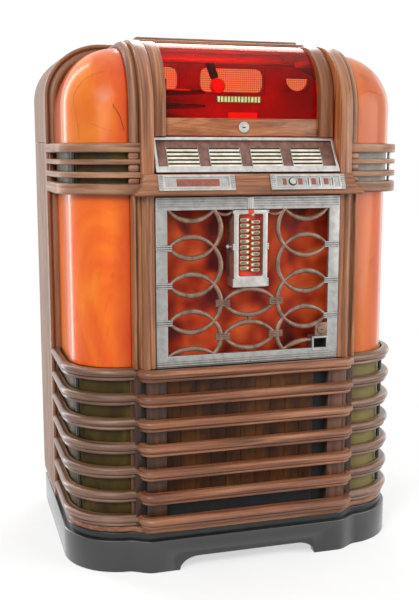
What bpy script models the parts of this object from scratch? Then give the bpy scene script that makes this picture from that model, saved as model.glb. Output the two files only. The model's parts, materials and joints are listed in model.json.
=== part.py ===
"""Free-standing jukebox with a push-button selector, modelled as separate pieces in metres.

X runs to the viewer's right, Y to the back and Z up. The origin is on the floor, below the middle
of the object's box. Depths are measured backwards from the face of the grille.
"""
import math

import bmesh
import bpy
from mathutils import Matrix, Vector

# Clearances and facet counts
GAP = 0.0003
OVERLAP = 0.0005
ARC_STEPS = 5
ROUND_STEPS = 12

# Overall depths, measured back from the grille face
FRONT_DEPTH = -0.030
REAR_DEPTH = 0.620
FACE_Y = -(FRONT_DEPTH + REAR_DEPTH) / 2

# Heights above the floor
PLINTH_BODY_TOP = 0.088
PLINTH_TOP = 0.1075
BASE_TOP = 0.125
GRILLE_BOTTOM = 0.550
GRILLE_HEIGHT = 0.437
SHELF_BOTTOM = 0.991
SHELF_LIP = 0.010
SHELF_TOP = 1.045
LID_BOTTOM = 1.1385
LID_RAIL_TOP = 1.185
CABINET_TOP = 1.3925
POST_TOP = 1.3880
CAP_TOP = 1.409

# Plan of the two front corners, all rounded about one upright axis
CORNER_X = 0.315
CORNER_DEPTH = 0.180
PLINTH_RADIUS = 0.160
BASE_RADIUS = 0.152
BASE_REAR_HALF = 0.4785
DOME_RADIUS = 0.1405
COLUMN_RADIUS = 0.1335
PLASTIC_THICK = 0.004
INNER_COLUMN_RADIUS = 0.1375
INNER_COLUMN_BORE_RADIUS = 0.126
INNER_COLUMN_WAIST_RADIUS = 0.129
BAND_RADIUS = 0.163
BAND_THICK = 0.022
BAND_ROUND = 0.003
LOUVRE_BACK_RADIUS = 0.142
CORNER_END_DEPTH = 0.3445
REAR_STRIP_DEPTHS = (CORNER_END_DEPTH - 0.016, CORNER_END_DEPTH - GAP)

# Plinth plan
CREASE_X = 0.285
PLINTH_FRONT = -0.008
LOBE_START_DEGREES = -70
PLINTH_WALL = 0.030
LEDGE_SETBACK = 0.010
CUTOUT_HALF = 0.193
CUTOUT_SHOULDER = 0.053
CUTOUT_HEIGHT = 0.036

# Cabinet shell and its arch
SHELL_HALF_WIDTH = 0.478
SHELL_THICK = 0.018
SHELL_FRONT = 0.372
ARCH_CORNER_WIDTH = 0.162
ARCH_CORNER_HEIGHT = 0.146
TRIM_WIDTH = 0.040
TRIM_FRONT = 0.3455
REED_EDGES = (0.0, 0.0132, 0.0400)
REED_DEPTH = 0.006
REED_GROOVE = 0.0012

# Front posts
POST_INNER_X = 0.2503
POST_FLAT_X = 0.283
POST_OUTER_X = 0.3055
POST_FRONT = 0.003
POST_THICK = 0.045
POST_BEND_CENTRE_DEPTH = 0.205
POST_BEND_CENTRE_HEIGHT = 1.205
POST_BEAD_RADIUS = 0.0115
POST_BEAD_X = 0.2935
POST_BEAD_DEPTH = 0.040
POST_BEAD_TOP = 1.3820
POST_LOWER_BACK = 0.095
COVE_DEPTHS = (0.012, 0.046)
THIN_BEAD_X = 0.301
THIN_BEAD_DEPTH = 0.013
THIN_BEAD_RADIUS = 0.0044
WIDE_BEAD_X = 0.2725
WIDE_BEAD_DEPTH = 0.006
WIDE_BEAD_RADIUS = 0.0090
COLUMN_INNER_X = POST_OUTER_X + 0.001

# Corner bands: bottom and top height of each
BAND_HEIGHTS = ((0.993, 1.021), (1.035, 1.050), (1.068, 1.081), (1.098, 1.1215))
BAND_INNER_X = POST_FLAT_X + OVERLAP

# Upper domes
DOME_FRONT_SPRING = 1.215
DOME_FRONT_TOP = 1.3655
DOME_REAR_SPRING = 1.175
DOME_REAR_TOP = 1.3755
DOME_SPINE_X = 0.3075
DOME_SPINE_DEPTH = 0.205
DOME_RINGS = 7

# Louvres
LOUVRE_COUNT = 7
LOUVRE_PITCH = 0.0655
LOUVRE_TOP = GRILLE_BOTTOM - 0.0003
LOUVRE_HEIGHT = 0.031
LOUVRE_ROUND = 0.011
LOUVRE_LIP = 0.005
LOUVRE_REACH = 0.023
LOUVRE_LIP_REACH = 0.015
FRONT_LOUVRE_PATH_DEPTH = FRONT_DEPTH + LOUVRE_REACH
FRONT_LOUVRE_HALF = 0.302
FRONT_LOUVRE_BEND = 0.016
FRONT_LOUVRE_END_DEPTH = 0.018
STILE_INNER_X = 0.2255
STILE_OUTER_X = 0.288
STILE_THICK = 0.020

# Loudspeaker and its board
BAFFLE_HALF = 0.3045
BAFFLE_THICK = 0.012
SPEAKER_HOLE_RADIUS = 0.150
SPEAKER_RADIUS = 0.170
SPEAKER_HEIGHT = 0.335

# Lid
LID_HALF = 0.2465
LID_BOW_INNER_X = 0.2090
LID_BOW_FRONT = 0.046
LID_BOW_THICK = 0.030
LID_BEND_CENTRE_DEPTH = 0.205
LID_BEND_CENTRE_HEIGHT = 1.230
LID_BOW_TOP = 1.386
LID_REAR = 0.343
LID_RAIL_FRONT = 0.058
LID_RAIL_THICK = 0.020
WINDOW_FRONT = 0.0725
WINDOW_THICK = 0.003
WINDOW_BEND_DEPTH = 0.2225
WINDOW_BEND_HEIGHT = 1.240
WINDOW_TOP = 1.3845
WINDOW_REAR = 0.262
CAP_STEP = 1.398
CAP_LOWER_FRONT = 0.250
CAP_UPPER_FRONT = 0.290
CAP_REAR = 0.3440
CAP_LOWER_HALF = 0.2420
CAP_UPPER_HALF = 0.2345
LID_HINGE_DEPTH = 0.3440
LID_HINGE_HEIGHT = 1.401
LID_LOCK_HEIGHT = 1.162

# Title panel, leaning back between the posts
TITLE_BOTTOM_DEPTH = -0.006
TITLE_BOTTOM_HEIGHT = 1.0455
TITLE_TOP_DEPTH = 0.0495
TITLE_TOP_HEIGHT = 1.1375
TITLE_HALF = 0.2462
TITLE_OPENING_HALF = 0.2385
TITLE_FRAME_FOOT = 0.005
TITLE_OPENING_FOOT = 0.022
TITLE_TOP_BAR = 0.009
TITLE_FRAME_THICK = 0.005
TITLE_CARD_THICK = 0.004
STRIP_GROUPS = 4
STRIPS_PER_GROUP = 5
STRIP_WIDTH = 0.0815
STRIP_GROUP_PITCH = 0.1114
STRIP_SHIFT = -0.004
STRIP_PITCH = 0.0112
STRIP_HEIGHT = 0.0058
STRIP_RAISE = 0.0022
STRIP_FOOT = 0.0235

# Control shelf and its plates
SHELF_HALF_BOTTOM = 0.307
SHELF_HALF_TOP = 0.283
SHELF_FACE_FOOT_DEPTH = -0.026
SHELF_FACE_HEAD_DEPTH = -0.007
SHELF_BACK = 0.0022
PLATE_INNER_X = 0.0475
PLATE_OUTER_X = 0.2530
PLATE_LEFT_OUTER_X = 0.2460
PLATE_THICK = 0.003
PLATE_MARGIN = 0.003
COIN_SLOT_XS = (0.150, 0.181, 0.217)
COIN_SLOT_SIZE = (0.0032, 0.022)
REJECT_X = 0.107
REJECT_RADIUS = 0.0075
REJECT_CLEARANCE = 0.0008
REJECT_STANDS_OUT = 0.006
REJECT_STEM = 0.010
REJECT_POCKET = 0.016

# Grille door
DOOR_HALF = 0.2495
DOOR_OPENING_HALF = 0.2195
DOOR_OPENING_LOW = 0.031
DOOR_OPENING_HIGH = 0.404
DOOR_THICK = 0.012
RING_RADIUS = 0.0054
RING_DEPTH = 0.006
RING_SIDES_RESOLUTION = 1
RING_STEPS = 6
SIDE_RING_X = 0.1560
SIDE_RING_HALF = 0.0595
SIDE_RING_RISE = 0.0275
FOOT_RING_RISE = 0.0165
SIDE_RING_HEIGHTS = (0.309, 0.213, 0.1175)
BOW_BULGE = 0.019
CENTRE_RING_HALF = 0.072
CENTRE_RING_RISE = 0.0345
CENTRE_RING_HEIGHTS = (0.1635, 0.0760)
CLAMP_INNER_X = 0.054
CLAMP_OUTER_X = 0.092
CLAMP_HEIGHT = 0.0190
BOSS_INNER_X = 0.2060
BOSS_HEIGHT = 0.0170
BOSS_STANDS_OUT = 0.0015
RETURN_LOW_X = 0.176
RETURN_HIGH_X = 0.2225
RETURN_LOW_Z = 0.022
RETURN_HIGH_Z = 0.062
RETURN_WALL = 0.0055
RETURN_DEPTH = 0.034
GRILLE_LOCK_X = 0.204
GRILLE_LOCK_HEIGHT = 0.0800
LOCK_PAD_HALF = 0.0185
DOOR_HINGE_X = -0.2520
DOOR_HINGE_DEPTH = -0.0020
BACKING_DEPTH = 0.0620
BACKING_THICK = 0.003

# Cam locks
LOCK_RADIUS = 0.0125
LOCK_FACE = 0.0040
LOCK_BARREL_RADIUS = 0.0085
LOCK_BORE_RADIUS = 0.0090
LOCK_CAM = (0.010, 0.003, 0.026)

# Selector
SELECTOR_HALF = 0.0455
SELECTOR_LOW = 0.2035
SELECTOR_HIGH = 0.4030
SELECTOR_FRONT = -0.006
SELECTOR_BACK = 0.044
SELECTOR_BANDS = ((0.2040, 0.2260), (0.3000, 0.3170), (0.3935, 0.4025))
SELECTOR_BAND_RAISE = 0.0040
POCKET_HALF = 0.033
POCKET_LOW = 0.232
POCKET_HIGH = 0.392
POCKET_DEPTH = 0.012
BUTTONS_PER_COLUMN = 10
BUTTON_PITCH = 0.01384
BUTTON_COLUMN_X = 0.0148
BUTTON_TOP_LEFT = 0.3768
BUTTON_STAGGER = 0.0055
BUTTON_LENGTH = 0.026
BUTTON_WIDTH = 0.0100
BUTTON_FRONT = 0.0015
BUTTON_BACK = 0.0235
BUTTON_HOLE_BACK = 0.0320
BUTTON_CLEARANCE = 0.0005
BUTTON_END_STEPS = 3

# Mechanism inside
DECK_TOP = 1.070
DECK_THICK = 0.016
DECK_FRONT = 0.100
DECK_FRONT_HALF = 0.300
DECK_REAR_HALF = 0.4585
DECK_REAR = 0.600
PLATTER_X = 0.125
PLATTER_DEPTH = 0.300
RECORD_RADIUS = 0.127
PLATTER_HEIGHT = 1.098
SPINDLE_HOLE_RADIUS = 0.012
SPINDLE_RADIUS = 0.012
MOTOR_BORE_RADIUS = 0.0115
MAGAZINE_X = -0.125
MAGAZINE_DEPTH = 0.440
MAGAZINE_DISCS = 5
MAGAZINE_PITCH = 0.040
MAGAZINE_STEPS = 10
ARM_PIVOT_X = 0.215
ARM_PIVOT_DEPTH = 0.470
ARM_HEIGHT = 1.136
ARM_LENGTH = 0.200
ARM_REST_DEGREES = -75.5

# Rear door
REAR_DOOR_THICK = 0.016
REAR_DOOR_BACK = 0.618
REAR_DOOR_MARGIN = 0.019
REAR_HINGE_X = -0.4590
REAR_HINGE_DEPTH = 0.6185
VENT_INNER_X = 0.036
VENT_OUTER_X = 0.246
VENT_LOW = 1.287
VENT_HIGH = 1.362
VENT_ROUND = 0.020
SIDE_VENT_X = 0.362
SIDE_VENT_HEIGHT = 1.335
SIDE_VENT_RADIUS = 0.040
LOW_VENT_LOW = 0.240
LOW_VENT_HIGH = 0.330

PLANES = {
    "XY": Matrix(((1, 0, 0, 0), (0, 1, 0, 0), (0, 0, 1, 0), (0, 0, 0, 1))),
    "XZ": Matrix(((1, 0, 0, 0), (0, 0, -1, 0), (0, 1, 0, 0), (0, 0, 0, 1))),
    "YZ": Matrix(((0, 0, 1, 0), (1, 0, 0, 0), (0, 1, 0, 0), (0, 0, 0, 1))),
}

for leftover in list(bpy.data.objects):
    bpy.data.objects.remove(leftover)
PARTS = bpy.data.collections.new("jukebox")
bpy.context.scene.collection.children.link(PARTS)


def back(depth):
    """World Y of a depth behind the grille face."""
    return FACE_Y + depth


def plan(points):
    """World XY points of (x, depth) points."""
    return [(x, back(depth)) for x, depth in points]


def side(points):
    """World YZ points of (depth, height) points."""
    return [(back(depth), height) for depth, height in points]


def arc(centre, radii, start, end, steps=ARC_STEPS):
    """Points on an elliptical arc, both ends included, angles in degrees."""
    points = []
    for step in range(steps + 1):
        angle = math.radians(start + (end - start) * step / steps)
        points.append((centre[0] + radii[0] * math.cos(angle), centre[1] + radii[1] * math.sin(angle)))
    return points


def circle(centre, radius, sides):
    """Points round a full circle."""
    return arc(centre, (radius, radius), 0, 360 - 360 / sides, sides - 1)


def make_material(name, colour, roughness, metallic=0.0):
    """A Principled material with the piece's colour and finish."""
    made = bpy.data.materials.new(name)
    made.use_nodes = True
    shader = made.node_tree.nodes["Principled BSDF"]
    shader.inputs["Base Color"].default_value = (*colour, 1.0)
    shader.inputs["Roughness"].default_value = roughness
    shader.inputs["Metallic"].default_value = metallic
    return made


WALNUT = make_material("walnut", (0.26, 0.12, 0.06), 0.35)
VENEER = make_material("side_veneer", (0.58, 0.46, 0.38), 0.40)
ORANGE = make_material("orange_plastic", (0.87, 0.20, 0.03), 0.15)
OLIVE = make_material("olive_plastic", (0.10, 0.09, 0.02), 0.30)
RED = make_material("red_plastic", (0.50, 0.02, 0.02), 0.10)
ALUMINIUM = make_material("cast_aluminium", (0.48, 0.51, 0.52), 0.35, 1.0)
BRASS = make_material("brass", (0.60, 0.50, 0.32), 0.35, 1.0)
LACQUER = make_material("black_lacquer", (0.04, 0.04, 0.04), 0.35)
CARD = make_material("title_card", (0.20, 0.09, 0.07), 0.60)
STEEL = make_material("steel", (0.45, 0.45, 0.45), 0.40, 1.0)
SHELLAC = make_material("shellac", (0.02, 0.02, 0.02), 0.25)
CONE = make_material("speaker_paper", (0.05, 0.05, 0.05), 0.80)
BOARD = make_material("plain_board", (0.16, 0.08, 0.04), 0.60)


def close_mesh(mesh):
    """Weld the seams of a mesh and point its faces outwards."""
    work = bmesh.new()
    work.from_mesh(mesh)
    bmesh.ops.remove_doubles(work, verts=work.verts, dist=1e-5)
    bmesh.ops.dissolve_degenerate(work, edges=work.edges, dist=1e-6)
    bmesh.ops.recalc_face_normals(work, faces=work.faces)
    work.to_mesh(mesh)
    work.free()


def new_object(mesh):
    """A linked object for a mesh that is already in world coordinates."""
    made = bpy.data.objects.new("piece", mesh)
    PARTS.objects.link(made)
    return made


def baked(holder):
    """Replace an object by the closed mesh that it evaluates to, in world coordinates."""
    bpy.context.view_layer.update()
    graph = bpy.context.evaluated_depsgraph_get()
    mesh = bpy.data.meshes.new_from_object(holder.evaluated_get(graph))
    mesh.transform(holder.matrix_world)
    bpy.data.objects.remove(holder)
    close_mesh(mesh)
    return new_object(mesh)


def poly_curve(outlines, dimensions, cyclic):
    """A curve datablock with one straight-segment spline for each list of points."""
    curve = bpy.data.curves.new("outline", "CURVE")
    curve.dimensions = dimensions
    for outline in outlines:
        spline = curve.splines.new("POLY")
        spline.points.add(len(outline) - 1)
        for point, place in zip(spline.points, outline):
            point.co = (*place, *([0.0] * (3 - len(place))), 1.0)
        spline.use_cyclic_u = cyclic
    return curve


def flat_solid(outlines, low, high, plane):
    """Extrude flat outlines, holes included, between two distances along the plane's normal."""
    curve = poly_curve(outlines, "2D", True)
    curve.fill_mode = "BOTH"
    curve.extrude = (high - low) / 2
    holder = new_object(curve)
    matrix = PLANES[plane] if isinstance(plane, str) else plane
    holder.matrix_world = matrix @ Matrix.Translation((0, 0, (low + high) / 2))
    return baked(holder)


def front_solid(outlines, near, far):
    """Extrude XZ outlines between two depths."""
    return flat_solid(outlines, -back(far), -back(near), "XZ")


def swept(path, section):
    """Sweep a closed section along a path in plan. The section's first axis points to the path's right."""
    profile = new_object(poly_curve([section], "2D", True))
    curve = poly_curve([path], "3D", False)
    curve.twist_mode = "Z_UP"
    curve.bevel_mode = "OBJECT"
    curve.bevel_object = profile
    curve.use_fill_caps = True
    made = baked(new_object(curve))
    bpy.data.objects.remove(profile)
    return made


def tube(path, radius, resolution=1):
    """A round bar along a path."""
    curve = poly_curve([path], "3D", False)
    curve.bevel_depth = radius
    curve.bevel_resolution = resolution
    curve.use_fill_caps = True
    return baked(new_object(curve))


def box(low, high):
    """A block between two world corners."""
    size = [b - a for a, b in zip(low, high)]
    middle = [(a + b) / 2 for a, b in zip(low, high)]
    mesh = bpy.data.meshes.new("block")
    work = bmesh.new()
    bmesh.ops.create_cube(work, size=1.0, matrix=Matrix.Translation(middle) @ Matrix.Diagonal((*size, 1.0)))
    work.to_mesh(mesh)
    work.free()
    return new_object(mesh)


def depth_box(xs, depths, heights):
    """A block given by its ranges of x, depth and height."""
    return box((xs[0], back(depths[0]), heights[0]), (xs[1], back(depths[1]), heights[1]))


def rod(start, end, radius, sides=ROUND_STEPS):
    """A straight round bar between two points."""
    start, end = Vector(start), Vector(end)
    span = end - start
    turn = span.to_track_quat("Z", "Y").to_matrix().to_4x4()
    mesh = bpy.data.meshes.new("rod")
    work = bmesh.new()
    bmesh.ops.create_cone(work, cap_ends=True, segments=sides, radius1=radius, radius2=radius,
                          depth=span.length, matrix=Matrix.Translation((start + end) / 2) @ turn)
    work.to_mesh(mesh)
    work.free()
    return new_object(mesh)


def turned(profile, centre, axis="Z", steps=ROUND_STEPS):
    """Turn a closed (radius, height) profile about an upright axis or, with axis Y, about a level one."""
    mesh = bpy.data.meshes.new("profile")
    points = [(radius, 0.0, height) for radius, height in profile]
    edges = [(index, (index + 1) % len(points)) for index in range(len(points))]
    mesh.from_pydata(points, edges[:-1], [])
    holder = new_object(mesh)
    screw = holder.modifiers.new("turn", "SCREW")
    screw.steps = steps
    screw.render_steps = steps
    screw.use_merge_vertices = True
    screw.merge_threshold = 0.0001
    tilt = Matrix.Rotation(math.radians(90), 4, "X") if axis == "Y" else Matrix.Identity(4)
    holder.matrix_world = Matrix.Translation(centre) @ tilt
    return baked(holder)


def combined(target, tools, operation, solver="EXACT"):
    """Join tools to a piece, or cut them out of it."""
    for tool in tools:
        cut = target.modifiers.new("combine", "BOOLEAN")
        cut.operation = operation
        cut.solver = solver
        cut.object = tool
        target = baked(target)
        bpy.data.objects.remove(tool)
    return target


def union(first, *others):
    return combined(first, others, "UNION")


def without(first, *tools):
    return combined(first, tools, "DIFFERENCE")


def rounded(piece, width, segments=1, angle=40):
    """Round a piece's sharp edges."""
    bevel = piece.modifiers.new("round", "BEVEL")
    bevel.width = width
    bevel.segments = segments
    bevel.limit_method = "ANGLE"
    bevel.angle_limit = math.radians(angle)
    return baked(piece)


def mirrored(piece):
    """A copy of a piece on the other side of the middle."""
    mesh = piece.data.copy()
    mesh.transform(Matrix.Diagonal((-1.0, 1.0, 1.0, 1.0)))
    close_mesh(mesh)
    return new_object(mesh)


def finish(piece, name, material, pivot=None):
    """Name a piece, give it its material, and put its origin on its joint's axis."""
    piece.name = name
    piece.data.name = name
    piece.data.materials.clear()
    piece.data.materials.append(material)
    piece.data.shade_smooth()
    piece.data.set_sharp_from_angle(angle=math.radians(35))
    if pivot is not None:
        piece.data.transform(Matrix.Translation(-Vector(pivot)))
        piece.location = pivot


def both_sides(piece, stem, material):
    """Keep a right-hand piece and make its left-hand twin."""
    twin = mirrored(piece)
    finish(piece, stem + "_right", material)
    finish(twin, stem + "_left", material)


def corner_path(radius, inner_x, end_depth=CORNER_END_DEPTH):
    """Plan of the right corner from beside the post round to the cabinet side, as (x, depth)."""
    points = [(inner_x, CORNER_DEPTH - radius)]
    points += arc((CORNER_X, CORNER_DEPTH), (radius, radius), -90, 0, ARC_STEPS)
    points.append((CORNER_X + radius, end_depth))
    return points


def corner_strip(radius, thick, inner_x, low, high):
    """An upright wall of even thickness round the right corner."""
    outer = corner_path(radius, inner_x)
    inner = corner_path(radius - thick, inner_x)
    return flat_solid([plan(outer + inner[::-1])], low, high, "XY")


def lobed_outline(front, radius, rear, rear_steps=()):
    """Plan of the foot: straight front, two round lobes, straight or stepped sides, as (x, depth)."""
    right = [(CREASE_X, front)]
    right += arc((CORNER_X, CORNER_DEPTH), (radius, radius), LOBE_START_DEGREES, 0, ARC_STEPS + 1)
    right += list(rear_steps) or [(CORNER_X + radius, rear)]
    return right + [(-x, depth) for x, depth in reversed(right)]


def arch_outline(inset, foot):
    """Front outline of the arched cabinet, from the right foot over the top to the left foot."""
    centre = (SHELL_HALF_WIDTH - ARCH_CORNER_WIDTH, CABINET_TOP - ARCH_CORNER_HEIGHT)
    radii = (ARCH_CORNER_WIDTH - inset, ARCH_CORNER_HEIGHT - inset)
    right = [(SHELL_HALF_WIDTH - inset, foot)]
    right += arc(centre, radii, 0, 90, ARC_STEPS + 2)
    return right + [(-x, height) for x, height in reversed(right)]


def arch_band(outer_inset, inner_inset, near, far, foot=BASE_TOP + GAP):
    """An arched hoop standing on the base board, between two depths."""
    outline = arch_outline(outer_inset, foot) + arch_outline(inner_inset, foot)[::-1]
    return front_solid([outline], near, far)


def make_plinth():
    outer = lobed_outline(PLINTH_FRONT, PLINTH_RADIUS, REAR_DEPTH)
    inner = lobed_outline(PLINTH_FRONT + PLINTH_WALL, PLINTH_RADIUS - PLINTH_WALL, REAR_DEPTH - PLINTH_WALL)
    walls = flat_solid([plan(outer), plan(inner)], 0.0, PLINTH_BODY_TOP, "XY")
    ledge_plan = lobed_outline(PLINTH_FRONT + LEDGE_SETBACK, PLINTH_RADIUS - LEDGE_SETBACK,
                               REAR_DEPTH - LEDGE_SETBACK)
    ledge = flat_solid([plan(ledge_plan)], PLINTH_BODY_TOP - OVERLAP, PLINTH_TOP, "XY")
    shoulder = CUTOUT_HALF - CUTOUT_SHOULDER
    right = arc((shoulder, 0.0), (CUTOUT_SHOULDER, CUTOUT_HEIGHT), 0, 90)
    arch = [(CUTOUT_HALF, -PLINTH_WALL)] + right
    arch += [(-x, height) for x, height in reversed(arch)]
    opening = front_solid([arch], PLINTH_FRONT - PLINTH_WALL, PLINTH_FRONT + 2 * PLINTH_WALL)
    finish(without(union(walls, ledge), opening), "plinth", LACQUER)


def make_base_board():
    rear = REAR_DEPTH - LEDGE_SETBACK
    steps = [(CORNER_X + BASE_RADIUS, CORNER_END_DEPTH), (BASE_REAR_HALF, CORNER_END_DEPTH),
             (BASE_REAR_HALF, rear)]
    outline = lobed_outline(PLINTH_FRONT + 2 * GAP, BASE_RADIUS, rear, steps)
    finish(flat_solid([plan(outline)], PLINTH_TOP + GAP, BASE_TOP, "XY"), "base_board", WALNUT)


def make_shell():
    finish(arch_band(0.0, SHELL_THICK, SHELL_FRONT, REAR_DEPTH), "cabinet_shell", VENEER)


def make_arch_trim():
    hoop = arch_band(0.0, TRIM_WIDTH, TRIM_FRONT + REED_DEPTH - OVERLAP, SHELL_FRONT - GAP)
    reeds = []
    for outer, inner in zip(REED_EDGES, REED_EDGES[1:]):
        reeds.append(arch_band(outer + REED_GROOVE / 2, inner - REED_GROOVE / 2, TRIM_FRONT,
                               TRIM_FRONT + REED_DEPTH, BASE_TOP + OVERLAP))
    finish(combined(hoop, reeds, "UNION", "MANIFOLD"), "arch_trim", WALNUT)


def bent_strip(front, centre, thick, top, foot, rear):
    """Side outline of a strip that rises at the front and bends back over the top, as (depth, height)."""
    outer_radii = (centre[0] - front, top - centre[1])
    inner_radii = (outer_radii[0] - thick, outer_radii[1] - thick)
    steps = ARC_STEPS + 2
    outer = [(front, foot)] + arc(centre, outer_radii, 180, 90, steps) + [(rear, top)]
    inner = [(front + thick, foot)] + arc(centre, inner_radii, 180, 90, steps) + [(rear, top - thick)]
    return outer + inner[::-1]


def make_posts():
    centre = (POST_BEND_CENTRE_DEPTH, POST_BEND_CENTRE_HEIGHT)
    foot = GRILLE_BOTTOM + GAP
    lower_top = BAND_HEIGHTS[0][0] - GAP
    upper_foot = BAND_HEIGHTS[-1][1] + GAP
    rear = TRIM_FRONT - GAP
    strip = bent_strip(POST_FRONT, centre, POST_THICK, POST_TOP, foot, rear)
    flat = flat_solid([side(strip)], POST_INNER_X, POST_FLAT_X, "YZ")
    bead_radii = (centre[0] - POST_BEAD_DEPTH, POST_BEAD_TOP - POST_BEAD_RADIUS - centre[1])
    bead_path = [(POST_BEAD_DEPTH, upper_foot)]
    bead_path += arc(centre, bead_radii, 180, 90, ARC_STEPS + 2)
    bead_path.append((rear, centre[1] + bead_radii[1]))
    bead = tube([(POST_BEAD_X, *place) for place in side(bead_path)], POST_BEAD_RADIUS)
    wall_depths = (POST_FRONT + POST_THICK - OVERLAP, POST_LOWER_BACK)
    inner_wall = depth_box((POST_INNER_X, POST_FLAT_X), wall_depths, (foot, lower_top))
    cove_back = depth_box((POST_FLAT_X - OVERLAP, POST_OUTER_X), COVE_DEPTHS, (foot, lower_top))
    thin_y = back(THIN_BEAD_DEPTH)
    thin_bead = rod((THIN_BEAD_X, thin_y, foot + GAP), (THIN_BEAD_X, thin_y, lower_top - GAP),
                    THIN_BEAD_RADIUS, 10)
    wide_y = back(WIDE_BEAD_DEPTH)
    wide_bead = rod((WIDE_BEAD_X, wide_y, foot + GAP), (WIDE_BEAD_X, wide_y, SHELF_BOTTOM - GAP),
                    WIDE_BEAD_RADIUS, 12)
    post = union(flat, bead, inner_wall, cove_back, thin_bead, wide_bead)
    both_sides(post, "front_post", WALNUT)


def dome_height(depth, rise):
    """Height on a dome at a share of its rise. The shoulder is squarer in front than at the back."""
    share = min(max((depth - CORNER_DEPTH) / (CORNER_END_DEPTH - CORNER_DEPTH), 0.0), 1.0)
    spring = DOME_FRONT_SPRING + share * (DOME_REAR_SPRING - DOME_FRONT_SPRING)
    top = DOME_FRONT_TOP + share * (DOME_REAR_TOP - DOME_FRONT_TOP)
    return spring + (top - spring) * rise


def make_domes():
    base = corner_path(DOME_RADIUS, DOME_SPINE_X)
    foot = BAND_HEIGHTS[-1][1] + GAP
    work = bmesh.new()
    rows = []
    for ring in range(DOME_RINGS + 2):
        angle = math.radians(90 * max(ring - 1, 0) / DOME_RINGS)
        row = []
        for x, depth in base:
            spine_depth = max(depth, DOME_SPINE_DEPTH)
            reach = math.cos(angle)
            height = foot if ring == 0 else dome_height(depth, math.sin(angle))
            place_x = DOME_SPINE_X + (x - DOME_SPINE_X) * reach
            place_depth = spine_depth + (depth - spine_depth) * reach
            row.append(work.verts.new((place_x, back(place_depth), height)))
        rows.append(row)
    for lower, upper in zip(rows, rows[1:]):
        for index in range(len(base) - 1):
            work.faces.new((lower[index], lower[index + 1], upper[index + 1], upper[index]))
    bmesh.ops.remove_doubles(work, verts=work.verts, dist=1e-5)
    bmesh.ops.dissolve_degenerate(work, edges=work.edges, dist=1e-6)
    mesh = bpy.data.meshes.new("dome")
    work.to_mesh(mesh)
    work.free()
    skin = new_object(mesh)
    shell = skin.modifiers.new("wall", "SOLIDIFY")
    shell.thickness = PLASTIC_THICK
    shell.offset = -1.0
    both_sides(baked(skin), "upper_dome", ORANGE)


def inner_column_ring(radius, low, high):
    return corner_strip(radius, radius - INNER_COLUMN_BORE_RADIUS, COLUMN_INNER_X, low, high)


def make_columns():
    low = LOUVRE_TOP + 2 * GAP
    high = BAND_HEIGHTS[0][0] - GAP
    column = corner_strip(COLUMN_RADIUS, PLASTIC_THICK, COLUMN_INNER_X, low, high)
    both_sides(column, "lower_column", ORANGE)
    foot = inner_column_ring(INNER_COLUMN_RADIUS, BASE_TOP + GAP, LOUVRE_TOP)
    waist = inner_column_ring(INNER_COLUMN_WAIST_RADIUS, LOUVRE_TOP - OVERLAP, high + 2 * GAP)
    head = inner_column_ring(INNER_COLUMN_RADIUS, high + GAP, BAND_HEIGHTS[-1][0])
    both_sides(union(foot, waist, head), "inner_column", OLIVE)


def make_bands():
    path = [(x, y, 0.0) for x, y in plan(corner_path(BAND_RADIUS - BAND_THICK, BAND_INNER_X))]
    flat = BAND_THICK - BAND_ROUND
    bands = []
    for low, high in BAND_HEIGHTS:
        section = [(0.0, high), (flat, high), (BAND_THICK, high - BAND_ROUND),
                   (BAND_THICK, low + BAND_ROUND), (flat, low), (0.0, low)]
        bands.append(swept(path, section))
    front = CORNER_DEPTH - BAND_RADIUS
    heights = (BAND_HEIGHTS[0][0] + 0.004, BAND_HEIGHTS[-1][1] - 0.004)
    block_depths = (front + 0.005, front + BAND_THICK - 0.002)
    block = depth_box((BAND_INNER_X + GAP, POST_OUTER_X), block_depths, heights)
    side_x = CORNER_X + BAND_RADIUS - BAND_THICK
    rear_block = depth_box((side_x + 0.002, side_x + 0.014), REAR_STRIP_DEPTHS, heights)
    both_sides(union(block, *bands, rear_block), "corner_bands", WALNUT)


def louvre_section(top):
    """Section of a louvre bar: a half-round above a groove and a small lip, as (reach, height)."""
    round_centre = (LOUVRE_REACH - LOUVRE_ROUND, top - LOUVRE_ROUND)
    lip_centre = (LOUVRE_LIP_REACH - LOUVRE_LIP, top - LOUVRE_HEIGHT + LOUVRE_LIP)
    section = [(0.0, top)]
    section += arc(round_centre, (LOUVRE_ROUND, LOUVRE_ROUND), 90, -90, 3)
    section += arc(lip_centre, (LOUVRE_LIP, LOUVRE_LIP), 45, -90, 1)
    section.append((0.0, top - LOUVRE_HEIGHT))
    return section


def louvre_tops():
    return [LOUVRE_TOP - index * LOUVRE_PITCH for index in range(LOUVRE_COUNT)]


def make_corner_louvres():
    path = [(x, y, 0.0) for x, y in plan(corner_path(LOUVRE_BACK_RADIUS, FRONT_LOUVRE_HALF + 0.0035))]
    bars = [swept(path, louvre_section(top)) for top in louvre_tops()]
    low = BASE_TOP + GAP
    high = LOUVRE_TOP - 0.004
    front = CORNER_DEPTH - LOUVRE_BACK_RADIUS
    strip_xs = (FRONT_LOUVRE_HALF + 0.004, FRONT_LOUVRE_HALF + 0.024)
    front_strip = depth_box(strip_xs, (front - 0.006, front + 0.0040), (low, high))
    side_x = CORNER_X + LOUVRE_BACK_RADIUS
    rear_strip = depth_box((side_x - 0.0040, side_x + 0.006), REAR_STRIP_DEPTHS, (low, high))
    both_sides(union(front_strip, *bars, rear_strip), "corner_louvres", WALNUT)


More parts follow.
